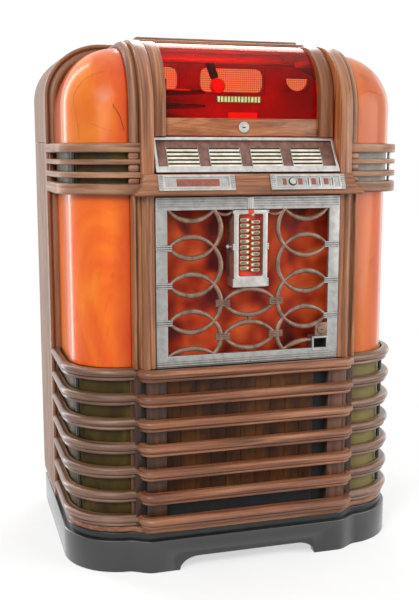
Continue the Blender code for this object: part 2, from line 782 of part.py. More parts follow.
def make_front_louvres():
    bend = FRONT_LOUVRE_BEND
    centre = (FRONT_LOUVRE_HALF - LOUVRE_REACH - bend, FRONT_LOUVRE_PATH_DEPTH + bend)
    right = arc(centre, (bend, bend), -90, 0, 2) + [(centre[0] + bend, FRONT_LOUVRE_END_DEPTH)]
    path = plan([(-x, depth) for x, depth in reversed(right)] + right)
    bars = [swept([(x, y, 0.0) for x, y in path], louvre_section(top)) for top in louvre_tops()]
    low = BASE_TOP + GAP
    high = LOUVRE_TOP - 0.003
    stile_front = FRONT_LOUVRE_PATH_DEPTH + 0.005
    stile_depths = (stile_front, stile_front + STILE_THICK)
    stiles = [depth_box(xs, stile_depths, (low, high))
              for xs in ((-STILE_OUTER_X + 0.010, -STILE_INNER_X), (STILE_INNER_X, STILE_OUTER_X - 0.010))]
    finish(union(stiles[0], *bars, stiles[1]), "front_louvres", WALNUT)


def make_speaker():
    board_front = FRONT_LOUVRE_PATH_DEPTH + 0.005 + STILE_THICK + GAP
    corners = [(-BAFFLE_HALF, BASE_TOP + GAP), (BAFFLE_HALF, BASE_TOP + GAP),
               (BAFFLE_HALF, GRILLE_BOTTOM - GAP), (-BAFFLE_HALF, GRILLE_BOTTOM - GAP)]
    hole = circle((0.0, SPEAKER_HEIGHT), SPEAKER_HOLE_RADIUS, 16)
    finish(front_solid([corners, hole], board_front, board_front + BAFFLE_THICK), "speaker_baffle", BOARD)
    rim = board_front + BAFFLE_THICK + GAP
    magnet = [(0.0, 0.125), (0.055, 0.125), (0.055, 0.082)]
    basket = [(0.075, 0.075), (0.160, 0.012), (SPEAKER_RADIUS, 0.010), (SPEAKER_RADIUS, 0.0)]
    cone = [(0.148, 0.0), (0.140, 0.008), (0.045, 0.070), (0.030, 0.060), (0.0, 0.052)]
    profile = magnet + basket + cone
    # The speaker is turned about a level axis whose height runs forwards, so depths are negated.
    forward = [(radius, -depth) for radius, depth in profile]
    finish(turned(forward, (0.0, back(rim), SPEAKER_HEIGHT), "Y"), "speaker", CONE)


def make_lid():
    bend = (LID_BEND_CENTRE_DEPTH, LID_BEND_CENTRE_HEIGHT)
    strip = side(bent_strip(LID_BOW_FRONT, bend, LID_BOW_THICK, LID_BOW_TOP, LID_BOTTOM, LID_REAR))
    bows = [flat_solid([strip], *xs, "YZ")
            for xs in ((-LID_HALF, -LID_BOW_INNER_X), (LID_BOW_INNER_X, LID_HALF))]
    rail = depth_box((-LID_BOW_INNER_X - 0.002, LID_BOW_INNER_X + 0.002),
                     (LID_RAIL_FRONT, LID_RAIL_FRONT + LID_RAIL_THICK), (LID_BOTTOM + GAP, LID_RAIL_TOP))
    lock_y = back(LID_RAIL_FRONT)
    bore = rod((0.0, lock_y - 0.010, LID_LOCK_HEIGHT), (0.0, lock_y + 0.040, LID_LOCK_HEIGHT),
               LOCK_BORE_RADIUS)
    rail = without(rail, bore)
    lower = depth_box((-CAP_LOWER_HALF, CAP_LOWER_HALF), (CAP_LOWER_FRONT, CAP_REAR),
                      (LID_BOW_TOP - 0.001, CAP_STEP))
    upper = depth_box((-CAP_UPPER_HALF, CAP_UPPER_HALF), (CAP_UPPER_FRONT, CAP_REAR - GAP),
                      (CAP_STEP - 0.001, CAP_TOP))
    lower = rounded(lower, 0.008, 2)
    upper = rounded(upper, 0.003, 1)
    pivot = (0.0, back(LID_HINGE_DEPTH), LID_HINGE_HEIGHT)
    finish(union(bows[0], rail, bows[1], lower, upper), "lid_frame", WALNUT, pivot)
    window_bend = (WINDOW_BEND_DEPTH, WINDOW_BEND_HEIGHT)
    pane = bent_strip(WINDOW_FRONT, window_bend, WINDOW_THICK, WINDOW_TOP, LID_RAIL_TOP + GAP, WINDOW_REAR)
    pane_half = LID_BOW_INNER_X - GAP
    finish(flat_solid([side(pane)], -pane_half, pane_half, "YZ"), "lid_window", RED, pivot)
    make_cam_lock("lid_lock", 0.0, LID_RAIL_FRONT, LID_LOCK_HEIGHT, LID_RAIL_THICK)


def make_cam_lock(name, x, face_depth, height, wall):
    """A cam lock: round face outside a wall, barrel through it, cam bar behind it."""
    face_y = back(face_depth)
    face = rod((x, face_y - LOCK_FACE, height), (x, face_y - GAP, height), LOCK_RADIUS)
    barrel_end = face_y + wall + 2 * GAP + LOCK_CAM[1]
    barrel = rod((x, face_y - LOCK_FACE / 2, height), (x, barrel_end, height), LOCK_BARREL_RADIUS, 8)
    cam_front = face_y + wall + 2 * GAP
    cam = box((x - LOCK_CAM[0] / 2, cam_front, height - LOCK_BARREL_RADIUS),
              (x + LOCK_CAM[0] / 2, cam_front + LOCK_CAM[1] / 2, height + LOCK_CAM[2]))
    key_slot = box((x - 0.0012, face_y - 2 * LOCK_FACE, height - 0.0055),
                   (x + 0.0012, face_y - LOCK_FACE / 2, height + 0.0055))
    finish(without(union(face, barrel, cam), key_slot), name, STEEL, (x, face_y, height))


def leaning_plane(foot, head):
    """A frame on a leaning face: x along it, then up it, then out of it. Points are (depth, height)."""
    rise = Vector((0.0, head[0] - foot[0], head[1] - foot[1]))
    up = rise.normalized()
    out = Vector((1.0, 0.0, 0.0)).cross(up)
    columns = ((1.0, 0.0, 0.0), tuple(up), tuple(out))
    origin = (0.0, back(foot[0]), foot[1])
    rows = [[column[axis] for column in columns] + [origin[axis]] for axis in range(3)]
    return Matrix(rows + [[0.0, 0.0, 0.0, 1.0]]), rise.length


def rectangle(xs, ys):
    return [(xs[0], ys[0]), (xs[1], ys[0]), (xs[1], ys[1]), (xs[0], ys[1])]


def make_title_panel():
    title_foot = (TITLE_BOTTOM_DEPTH, TITLE_BOTTOM_HEIGHT)
    plane, length = leaning_plane(title_foot, (TITLE_TOP_DEPTH, TITLE_TOP_HEIGHT))
    outer = rectangle((-TITLE_HALF, TITLE_HALF), (TITLE_FRAME_FOOT, length))
    opening = rectangle((-TITLE_OPENING_HALF, TITLE_OPENING_HALF),
                        (TITLE_OPENING_FOOT, length - TITLE_TOP_BAR))
    finish(flat_solid([outer, opening], -TITLE_FRAME_THICK, 0.0, plane), "title_frame", ALUMINIUM)
    card_face = -TITLE_FRAME_THICK - GAP - STRIP_RAISE
    card_foot = TITLE_FRAME_FOOT + 0.005
    card_outline = rectangle((-TITLE_HALF, TITLE_HALF), (card_foot, length - 0.002))
    card = flat_solid([card_outline], card_face - TITLE_CARD_THICK, card_face, plane)
    strips = []
    for group in range(STRIP_GROUPS):
        middle = STRIP_SHIFT + (group - (STRIP_GROUPS - 1) / 2) * STRIP_GROUP_PITCH
        strip_xs = (middle - STRIP_WIDTH / 2, middle + STRIP_WIDTH / 2)
        for row in range(STRIPS_PER_GROUP):
            foot = STRIP_FOOT + row * STRIP_PITCH
            outline = rectangle(strip_xs, (foot, foot + STRIP_HEIGHT))
            strips.append(flat_solid([outline], card_face - OVERLAP, card_face + STRIP_RAISE, plane))
    finish(union(card, *strips), "title_card", CARD)


def tapered_block(half_low, half_high, depths_low, depths_high, heights):
    """A block whose foot and head differ in width and depth."""
    block = depth_box((-half_low, half_low), depths_low, heights)
    for vertex in block.data.vertices:
        if vertex.co.z > (heights[0] + heights[1]) / 2:
            vertex.co.x = math.copysign(half_high, vertex.co.x)
            is_front = vertex.co.y < back(sum(depths_low) / 2)
            vertex.co.y = back(depths_high[0] if is_front else depths_high[1])
    return block


def make_control_shelf():
    face_foot = SHELF_BOTTOM + SHELF_LIP
    lip = depth_box((-SHELF_HALF_BOTTOM, SHELF_HALF_BOTTOM), (FRONT_DEPTH, SHELF_BACK),
                    (SHELF_BOTTOM, face_foot))
    block = tapered_block(SHELF_HALF_BOTTOM - 0.004, SHELF_HALF_TOP, (SHELF_FACE_FOOT_DEPTH, SHELF_BACK),
                          (SHELF_FACE_HEAD_DEPTH, SHELF_BACK), (face_foot - OVERLAP, SHELF_TOP))
    shelf = union(rounded(lip, 0.003), rounded(block, 0.004, 1, 60))
    plane, length = leaning_plane((SHELF_FACE_FOOT_DEPTH, face_foot), (SHELF_FACE_HEAD_DEPTH, SHELF_TOP))
    plate_rows = (PLATE_MARGIN, length - PLATE_MARGIN)
    middle = length / 2
    hole_radius = REJECT_RADIUS + REJECT_CLEARANCE
    reject_hole = circle((REJECT_X, middle), hole_radius, 16)
    left_outline = rectangle((-PLATE_LEFT_OUTER_X, -PLATE_INNER_X), plate_rows)
    left = flat_solid([left_outline], GAP, GAP + PLATE_THICK, plane)
    finish(left, "plate_left", ALUMINIUM)
    slots = []
    slot_rows = (middle - COIN_SLOT_SIZE[1] / 2, middle + COIN_SLOT_SIZE[1] / 2)
    for x in COIN_SLOT_XS:
        slots.append(rectangle((x - COIN_SLOT_SIZE[0] / 2, x + COIN_SLOT_SIZE[0] / 2), slot_rows))
    outline = rectangle((PLATE_INNER_X, PLATE_OUTER_X), plate_rows)
    right = flat_solid([outline, reject_hole] + slots, GAP, GAP + PLATE_THICK, plane)
    finish(right, "plate_right", ALUMINIUM)
    pocket_floor = plane @ Vector((REJECT_X, middle, -REJECT_POCKET))
    pocket = rod(pocket_floor, plane @ Vector((REJECT_X, middle, 0.010)), hole_radius, 16)
    coin_wells = [flat_solid([slot], -0.010, 0.010, plane) for slot in slots]
    finish(without(shelf, pocket, *coin_wells), "control_shelf", WALNUT)
    head = plane @ Vector((REJECT_X, middle, PLATE_THICK + REJECT_STANDS_OUT))
    tail = plane @ Vector((REJECT_X, middle, -REJECT_STEM))
    button = rounded(rod(tail, head, REJECT_RADIUS, 16), 0.0015)
    finish(button, "reject_button", BRASS, tuple(plane @ Vector((REJECT_X, middle, 0.0))))


def bulged_arc(start, end, bulge, steps=RING_STEPS):
    """Points on a circular arc between two (x, z) points that bulges to the left of their line."""
    start, end = Vector(start), Vector(end)
    half = (end - start).length / 2
    radius = (half * half + bulge * bulge) / (2 * abs(bulge))
    along = (end - start).normalized()
    left = Vector((-along.y, along.x)) * math.copysign(1.0, bulge)
    centre = (start + end) / 2 - left * (radius - abs(bulge))
    spread = math.asin(half / radius)
    points = []
    for step in range(steps + 1):
        angle = spread * (2 * step / steps - 1)
        points.append(centre + left * radius * math.cos(angle) + along * radius * math.sin(angle))
    return points


def ring_bar(start, end, bulge):
    """A round cast bar of the lattice, from one (x, z) point to another above the grille's foot."""
    places = [(x, back(RING_DEPTH), GRILLE_BOTTOM + z) for x, z in bulged_arc(start, end, bulge)]
    return tube(places, RING_RADIUS, RING_SIDES_RESOLUTION)


def lens(x, z, half, rise):
    """The two bars of a lens-shaped ring."""
    return [ring_bar((x - half, z), (x + half, z), rise), ring_bar((x - half, z), (x + half, z), -rise)]


def door_block(xs, zs, depths=(-BOSS_STANDS_OUT, DOOR_THICK - 0.002)):
    """A block of the grille door, heights measured from the grille's foot."""
    return depth_box(xs, depths, (GRILLE_BOTTOM + zs[0], GRILLE_BOTTOM + zs[1]))


def lattice_side(sign, with_foot_ring):
    """The rings, bows and bosses on one side of the grille."""
    x = sign * SIDE_RING_X
    inner_x = sign * (SIDE_RING_X - SIDE_RING_HALF)
    bars = []
    for z in SIDE_RING_HEIGHTS:
        bars += lens(x, z, SIDE_RING_HALF, SIDE_RING_RISE)
    bars.append(ring_bar((x - SIDE_RING_HALF, DOOR_OPENING_HIGH), (x + SIDE_RING_HALF, DOOR_OPENING_HIGH),
                         -SIDE_RING_RISE))
    if with_foot_ring:
        bars.append(ring_bar((x - SIDE_RING_HALF, DOOR_OPENING_LOW), (x + SIDE_RING_HALF, DOOR_OPENING_LOW),
                             FOOT_RING_RISE))
    stops = [DOOR_OPENING_HIGH, *SIDE_RING_HEIGHTS, DOOR_OPENING_LOW]
    for upper, lower in zip(stops, stops[1:]):
        bars.append(ring_bar((inner_x, upper), (inner_x, lower), -sign * BOW_BULGE))
    for z in SIDE_RING_HEIGHTS:
        xs = sorted((sign * BOSS_INNER_X, sign * (DOOR_HALF - 0.001)))
        bars.append(door_block(xs, (z - BOSS_HEIGHT / 2, z + BOSS_HEIGHT / 2)))
    for z in CENTRE_RING_HEIGHTS:
        xs = sorted((sign * CLAMP_INNER_X, sign * CLAMP_OUTER_X))
        bars.append(door_block(xs, (z - CLAMP_HEIGHT / 2, z + CLAMP_HEIGHT / 2)))
    return bars


def make_grille_door():
    pivot = (DOOR_HINGE_X, back(DOOR_HINGE_DEPTH), GRILLE_BOTTOM)
    foot = GRILLE_BOTTOM + GAP
    head = GRILLE_BOTTOM + GRILLE_HEIGHT
    outer = rectangle((-DOOR_HALF, DOOR_HALF), (foot, head))
    opening = rectangle((-DOOR_OPENING_HALF, DOOR_OPENING_HALF),
                        (GRILLE_BOTTOM + DOOR_OPENING_LOW, GRILLE_BOTTOM + DOOR_OPENING_HIGH))
    frame = front_solid([outer, opening], 0.0, DOOR_THICK)
    pieces = lattice_side(-1, True) + lattice_side(1, False)
    for z in CENTRE_RING_HEIGHTS:
        pieces += lens(0.0, z, CENTRE_RING_HALF, CENTRE_RING_RISE)
    link_low = CENTRE_RING_HEIGHTS[1] + CENTRE_RING_RISE
    link_high = CENTRE_RING_HEIGHTS[0] - CENTRE_RING_RISE
    pieces.append(door_block((-0.0035, 0.0035), (link_low, link_high)))
    cup = door_block((RETURN_LOW_X, RETURN_HIGH_X), (RETURN_LOW_Z, RETURN_HIGH_Z),
                     (-BOSS_STANDS_OUT, RETURN_DEPTH))
    pocket = door_block((RETURN_LOW_X + RETURN_WALL, RETURN_HIGH_X - RETURN_WALL),
                        (RETURN_LOW_Z + RETURN_WALL, RETURN_HIGH_Z - RETURN_WALL),
                        (-0.010, RETURN_DEPTH - RETURN_WALL))
    pieces.append(ring_bar((SIDE_RING_X - SIDE_RING_HALF, DOOR_OPENING_LOW),
                           (RETURN_LOW_X + 0.003, RETURN_LOW_Z + 0.030), 0.008))
    pad = door_block((GRILLE_LOCK_X - LOCK_PAD_HALF, DOOR_OPENING_HALF + 0.003),
                     (RETURN_HIGH_Z - 0.002, GRILLE_LOCK_HEIGHT + LOCK_PAD_HALF),
                     (0.001, DOOR_THICK - 0.001))
    lock_height = GRILLE_BOTTOM + GRILLE_LOCK_HEIGHT
    bore = rod((GRILLE_LOCK_X, back(-0.010), lock_height), (GRILLE_LOCK_X, back(0.040), lock_height),
               LOCK_BORE_RADIUS)
    casting = union(frame, *pieces, cup, pad)
    finish(without(casting, pocket, bore), "grille_door", ALUMINIUM, pivot)
    make_cam_lock("grille_lock", GRILLE_LOCK_X, 0.001, lock_height, DOOR_THICK)
    sheet = rectangle((-POST_INNER_X + GAP, POST_INNER_X - GAP), (foot, SHELF_BOTTOM - GAP))
    finish(front_solid([sheet], BACKING_DEPTH, BACKING_DEPTH + BACKING_THICK), "grille_backing", RED)


def pill(x, z, length, width):
    """Outline of a button: a bar with round ends."""
    radius = width / 2
    reach = length / 2 - radius
    right = arc((x + reach, z), (radius, radius), -90, 90, BUTTON_END_STEPS)
    left = arc((x - reach, z), (radius, radius), 90, 270, BUTTON_END_STEPS)
    return right + left


def button_places():
    """Name, x and z of each button, left column then right, from the top."""
    places = []
    for column, sign in (("a", -1), ("b", 1)):
        top = GRILLE_BOTTOM + BUTTON_TOP_LEFT - (BUTTON_STAGGER if sign > 0 else 0.0)
        for row in range(BUTTONS_PER_COLUMN):
            name = "button_%s%02d" % (column, row + 1)
            places.append((name, sign * BUTTON_COLUMN_X, top - row * BUTTON_PITCH))
    return places


def make_selector():
    pivot = (DOOR_HINGE_X, back(DOOR_HINGE_DEPTH), GRILLE_BOTTOM)
    housing = door_block((-SELECTOR_HALF, SELECTOR_HALF), (SELECTOR_LOW, SELECTOR_HIGH),
                         (SELECTOR_FRONT, SELECTOR_BACK))
    housing = rounded(housing, 0.003)
    bands = []
    half = SELECTOR_HALF + SELECTOR_BAND_RAISE
    band_depths = (SELECTOR_FRONT - SELECTOR_BAND_RAISE / 2, SELECTOR_BACK - 0.002)
    for zs in SELECTOR_BANDS:
        bands.append(door_block((-half, half), zs, band_depths))
    housing = union(housing, *bands)
    pocket = door_block((-POCKET_HALF, POCKET_HALF), (POCKET_LOW, POCKET_HIGH),
                        (SELECTOR_FRONT - 0.010, POCKET_DEPTH))
    holes = []
    for name, x, z in button_places():
        outline = pill(x, z, BUTTON_LENGTH + 2 * BUTTON_CLEARANCE, BUTTON_WIDTH + 2 * BUTTON_CLEARANCE)
        holes.append(front_solid([outline], POCKET_DEPTH - 0.002, BUTTON_HOLE_BACK))
        body = front_solid([pill(x, z, BUTTON_LENGTH, BUTTON_WIDTH)], BUTTON_FRONT, BUTTON_BACK)
        finish(body, name, BRASS, (x, back(BUTTON_BACK), z))
    finish(without(housing, pocket, *holes), "selector_housing", ALUMINIUM, pivot)


def make_deck():
    shoulder = SHELL_FRONT + GAP
    right = [(DECK_FRONT_HALF, DECK_FRONT), (DECK_FRONT_HALF, shoulder), (DECK_REAR_HALF, shoulder),
             (DECK_REAR_HALF, DECK_REAR)]
    outline = right + [(-x, depth) for x, depth in reversed(right)]
    spindle_hole = plan(circle((PLATTER_X, PLATTER_DEPTH), SPINDLE_HOLE_RADIUS, 12))
    deck = flat_solid([plan(outline), spindle_hole], DECK_TOP - DECK_THICK, DECK_TOP, "XY")
    finish(deck, "mechanism_deck", BOARD)


def make_record_mechanism():
    platter_y = back(PLATTER_DEPTH)
    seat = DECK_TOP + GAP
    platter = [(0.0, 0.072), (0.004, 0.070), (0.004, PLATTER_HEIGHT - DECK_TOP + 0.010),
               (RECORD_RADIUS - 0.004, PLATTER_HEIGHT - DECK_TOP + 0.010), (RECORD_RADIUS, 0.034),
               (RECORD_RADIUS, PLATTER_HEIGHT - DECK_TOP), (0.032, 0.022), (0.030, 0.0), (0.010, 0.0),
               (0.010, -0.030), (0.0, -0.030)]
    pivot = (PLATTER_X, platter_y, seat)
    finish(turned(platter, pivot), "turntable", STEEL, pivot)
    stack = [(0.0, 0.245), (SPINDLE_RADIUS, 0.240)]
    for disc in reversed(range(MAGAZINE_DISCS)):
        low = 0.040 + disc * MAGAZINE_PITCH
        stack += [(SPINDLE_RADIUS, low + 0.006), (RECORD_RADIUS, low + 0.004)]
        stack += [(RECORD_RADIUS, low), (SPINDLE_RADIUS, low - 0.002)]
    stack += [(0.030, 0.015), (0.080, 0.012), (0.080, 0.0), (0.0, 0.0)]
    magazine = turned(stack, (MAGAZINE_X, back(MAGAZINE_DEPTH), seat), steps=MAGAZINE_STEPS)
    finish(magazine, "record_magazine", SHELLAC)
    motor_top = DECK_TOP - DECK_THICK - GAP
    can = [(0.0, 0.0), (0.014, 0.0), (0.014, -0.008), (0.050, -0.012), (0.055, -0.020), (0.055, -0.090),
           (0.045, -0.105), (0.0, -0.105)]
    motor = turned(can, (PLATTER_X, platter_y, motor_top))
    bore = rod((PLATTER_X, platter_y, motor_top - 0.030), (PLATTER_X, platter_y, motor_top + 0.010),
               MOTOR_BORE_RADIUS)
    finish(without(motor, bore), "drive_motor", STEEL)


def make_tone_arm():
    pivot = Vector((ARM_PIVOT_X, back(ARM_PIVOT_DEPTH), DECK_TOP + GAP))
    angle = math.radians(ARM_REST_DEGREES)
    along = Vector((math.cos(angle), math.sin(angle), 0.0))
    lift = Vector((0.0, 0.0, ARM_HEIGHT - pivot.z))
    post = turned([(0.0, 0.082), (0.014, 0.080), (0.016, 0.030), (0.022, 0.010), (0.022, 0.0), (0.0, 0.0)],
                  tuple(pivot))
    start = pivot + lift - along * 0.045
    end = pivot + lift + along * ARM_LENGTH
    arm = tube([tuple(start), tuple(pivot + lift), tuple(end)], 0.007, 1)
    weight = rod(start - along * 0.012, start + along * 0.012, 0.017)
    head = rod(end - along * 0.004, end + along * 0.022, 0.013, 10)
    needle_top = end + along * 0.012
    needle = rod(needle_top, needle_top - Vector((0.0, 0.0, 0.020)), 0.002, 6)
    finish(union(post, arm, weight, head, needle), "tone_arm", STEEL, tuple(pivot))


def make_electrics():
    floor = BASE_TOP + GAP
    chassis = depth_box((-0.200, 0.060), (0.300, 0.520), (floor, floor + 0.065))
    transformer = depth_box((-0.180, -0.100), (0.330, 0.420), (floor + 0.060, floor + 0.150))
    valves = []
    for index in range(4):
        x = -0.060 + index * 0.032
        valves.append(rod((x, back(0.470), floor + 0.060), (x, back(0.470), floor + 0.150), 0.013, 8))
    finish(union(rounded(chassis, 0.004), rounded(transformer, 0.004), *valves), "amplifier", STEEL)
    chute_top = SHELF_BOTTOM - 0.004
    body = depth_box((0.130, 0.245), (POST_LOWER_BACK + 0.001, 0.150), (GRILLE_BOTTOM + 0.210, chute_top))
    chute = depth_box((0.185, 0.220), (POST_LOWER_BACK + 0.002, 0.130),
                      (GRILLE_BOTTOM + 0.012, GRILLE_BOTTOM + 0.214))
    finish(union(rounded(body, 0.004), chute), "coin_mechanism", STEEL)


def rounded_rectangle(xs, zs, radius):
    """A rectangle with round corners."""
    points = []
    corners = ((xs[1], zs[0], -90), (xs[1], zs[1], 0), (xs[0], zs[1], 90), (xs[0], zs[0], 180))
    for x, z, start in corners:
        centre_x = x - math.copysign(radius, x - sum(xs) / 2)
        centre_z = z - math.copysign(radius, z - sum(zs) / 2)
        points += arc((centre_x, centre_z), (radius, radius), start, start + 90, 2)
    return points


def make_rear_door():
    outline = arch_outline(REAR_DOOR_MARGIN, BASE_TOP + 0.002)
    vents = []
    for sign in (-1, 1):
        xs = sorted((sign * VENT_INNER_X, sign * VENT_OUTER_X))
        vents.append(rounded_rectangle(xs, (VENT_LOW, VENT_HIGH), VENT_ROUND))
        vents.append(rounded_rectangle(xs, (LOW_VENT_LOW, LOW_VENT_HIGH), VENT_ROUND))
        half_round = (SIDE_VENT_RADIUS, SIDE_VENT_RADIUS)
        vents.append(arc((sign * SIDE_VENT_X, SIDE_VENT_HEIGHT), half_round, 180, 360, 8))
    door = front_solid([outline] + vents, REAR_DOOR_BACK - REAR_DOOR_THICK, REAR_DOOR_BACK)
    finish(door, "rear_door", BOARD, (REAR_HINGE_X, back(REAR_HINGE_DEPTH), BASE_TOP))


make_plinth()
make_base_board()
make_shell()
make_arch_trim()
make_posts()
make_domes()
make_columns()
make_bands()
make_corner_louvres()
make_front_louvres()
make_speaker()
make_control_shelf()
make_title_panel()
make_lid()
make_grille_door()
make_selector()
make_deck()
make_record_mechanism()
make_tone_arm()
make_electrics()
make_rear_door()
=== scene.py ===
"""Dresses the jukebox's frame with smooth, detailed pieces and procedural materials.

X runs to the viewer's right, Y to the back and Z up, in metres. Depths are measured backwards
from the face of the grille, and heights on the grille from its foot.
"""

import json
import math

import bmesh
import bpy
import numpy as np
from mathutils import Matrix, Vector

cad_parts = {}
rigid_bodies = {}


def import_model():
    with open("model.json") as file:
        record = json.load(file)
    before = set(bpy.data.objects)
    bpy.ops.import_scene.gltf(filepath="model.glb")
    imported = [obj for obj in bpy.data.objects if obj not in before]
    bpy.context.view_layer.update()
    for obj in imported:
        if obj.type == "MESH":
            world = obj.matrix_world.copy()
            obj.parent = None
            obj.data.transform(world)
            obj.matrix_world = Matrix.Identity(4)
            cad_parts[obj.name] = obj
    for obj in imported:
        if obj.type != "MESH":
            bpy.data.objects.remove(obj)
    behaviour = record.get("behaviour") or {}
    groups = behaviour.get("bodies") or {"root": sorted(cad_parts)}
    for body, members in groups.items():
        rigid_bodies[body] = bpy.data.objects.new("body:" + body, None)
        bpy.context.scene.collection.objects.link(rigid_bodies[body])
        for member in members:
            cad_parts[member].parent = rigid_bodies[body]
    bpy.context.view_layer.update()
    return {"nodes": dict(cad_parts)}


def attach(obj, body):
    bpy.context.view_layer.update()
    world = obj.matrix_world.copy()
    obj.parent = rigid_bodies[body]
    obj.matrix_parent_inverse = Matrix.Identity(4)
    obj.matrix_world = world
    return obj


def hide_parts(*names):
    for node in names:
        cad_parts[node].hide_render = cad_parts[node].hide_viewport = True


for leftover in list(bpy.data.objects):
    bpy.data.objects.remove(leftover)
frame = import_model()

# Main dimensions, as in the frame
FACE_Y = -0.295
GAP = 0.0003
PLINTH_BODY_TOP = 0.088
PLINTH_TOP = 0.1075
BASE_TOP = 0.125
BASE_REST = BASE_TOP + GAP
GRILLE_BOTTOM = 0.550
GRILLE_TOP = 0.987
OPENING_FOOT = 0.031
OPENING_HEAD = 0.404
SHELF_BOTTOM = 0.991
SHELF_TOP = 1.045
CABINET_TOP = 1.3925
CORNER_X = 0.315
CORNER_DEPTH = 0.180
CORNER_END = 0.3445
CORNER_STRIP = (0.3285, 0.3442)
REAR_DEPTH = 0.620
SHELL_HALF = 0.478
SHELL_FRONT = 0.372
SHELL_THICK = 0.018
POST_INNER_X = 0.2503
POST_FLAT_X = 0.283
POST_OUTER_X = 0.3055
DOME_RADIUS = 0.1405
DOME_SPINE = (0.3075, 0.205)
DOME_SPRING = 1.215
DOME_TOP = 1.3655
BANDS = ((0.993, 1.021), (1.035, 1.050), (1.068, 1.081), (1.098, 1.1215))
BANDS_FOOT, BANDS_TOP = BANDS[0][0], BANDS[-1][1]
LOUVRE_TOPS = [0.5497 - 0.0655 * index for index in range(7)]
SIDE_RINGS = (0.309, 0.213, 0.1175)
CENTRE_RINGS = (0.1635, 0.0760)
HOUSE = "cabinet"
DOOR = "grille_door"
LID = "lid"
SIDES = (("right", 1), ("left", -1))
WHITE = (1.0, 1.0, 1.0, 1.0)
BLACK = (0.0, 0.0, 0.0, 1.0)


# Node materials
def written(colour):
    """A colour in linear light, written as six hexadecimal digits or given as it is."""
    if not isinstance(colour, str):
        return colour
    parts = [int(colour[index:index + 2], 16) / 255 for index in (0, 2, 4)]
    light = [part / 12.92 if part <= 0.04045 else ((part + 0.055) / 1.055) ** 2.4 for part in parts]
    return (*light, 1.0)


class Finish:
    """One procedural material, built node by node."""

    def __init__(self, name, **sockets):
        self.made = bpy.data.materials.new(name)
        self.made.use_nodes = True
        self.nodes = self.made.node_tree.nodes
        self.shader = self.nodes["Principled BSDF"]
        for key, value in sockets.items():
            self.set(key.replace("_", " ").title().replace("Ior", "IOR"), value)

    def put(self, socket, value):
        if isinstance(value, bpy.types.NodeSocket):
            self.made.node_tree.links.new(value, socket)
        else:
            socket.default_value = written(value)

    def set(self, socket, value):
        self.put(self.shader.inputs[socket], value)

    def node(self, kind, links=None, **settings):
        made = self.nodes.new("ShaderNode" + kind)
        for key, value in settings.items():
            setattr(made, key, value)
        for key, value in (links or {}).items():
            self.put(made.inputs[key], value)
        return made

    def coords(self, kind="Object", stretch=(1.0, 1.0, 1.0)):
        source = self.node("TexCoord").outputs[kind]
        return self.node("Mapping", {"Vector": source, "Scale": stretch}).outputs["Vector"]

    def axis(self, vector, letter):
        return self.node("SeparateXYZ", {"Vector": vector}).outputs[letter]

    def noise(self, where, scale=1.0, detail=4.0, roughness=0.55, distortion=0.0):
        links = {"Vector": where, "Scale": scale, "Detail": detail, "Roughness": roughness,
                 "Distortion": distortion}
        return self.node("TexNoise", links).outputs["Fac"]

    def ramp(self, value, *stops):
        """A colour ramp through rising stops of (place, colour)."""
        made = self.node("ValToRGB", {"Fac": value})
        elements = made.color_ramp.elements
        elements.remove(elements[1])
        elements[0].position = stops[0][0]
        elements[0].color = written(stops[0][1])
        for place, colour in stops[1:]:
            elements.new(place).color = written(colour)
        return made.outputs["Color"]

    def spread(self, value, low, high, start=0.0, end=1.0, kind="LINEAR"):
        """A value between start and end, carried over to low and high."""
        links = {"Value": value, "From Min": start, "From Max": end, "To Min": low, "To Max": high}
        return self.node("MapRange", links, interpolation_type=kind).outputs["Result"]

    def mix(self, share, first, second, blend="MIX"):
        made = self.node("Mix", data_type="RGBA", blend_type=blend)
        self.put(made.inputs[0], share)
        self.put(made.inputs[6], first)
        self.put(made.inputs[7], second)
        return made.outputs[2]

    def bump(self, height, strength, distance):
        links = {"Height": height, "Strength": strength, "Distance": distance}
        self.set("Normal", self.node("Bump", links).outputs["Normal"])

    def done(self, colour, wear, low, high, *bump):
        """The material, with its colour, a roughness between low and high by its wear, and a bump."""
        self.set("Base Color", colour)
        self.set("Roughness", self.spread(wear, low, high))
        self.bump(*bump)
        return self.made


UP = ("Object", (70.0, 70.0, 3.0))
ACROSS = ("Object", (3.0, 70.0, 70.0))
RUN = ("UV", (3.0, 85.0, 1.0))
PLAIN_GRAIN = ("Object", (4.0, 60.0, 60.0))


def wood(name, grain, dark, middle, light, gloss=0.40, coat=0.32):
    """Lacquered wood. The grain names its coordinates and its fineness along each axis, per metre."""
    kind, stretch = grain
    made = Finish(name, coat_weight=coat, coat_roughness=0.24, specular_ior_level=0.25)
    figure = made.noise(made.coords(kind, stretch), detail=3.0, distortion=0.9)
    fine = made.noise(made.coords(kind, tuple(6.5 * part for part in stretch)), detail=5.0, roughness=0.65)
    base = made.ramp(figure, (0.30, dark), (0.50, middle), (0.72, light))
    streak = made.ramp(fine, (0.32, (0.58, 0.53, 0.49, 1.0)), (0.56, WHITE))
    colour = made.mix(0.75, base, streak, "MULTIPLY")
    return made.done(colour, fine, gloss + 0.10, gloss - 0.12, fine, 0.20, 0.0006)


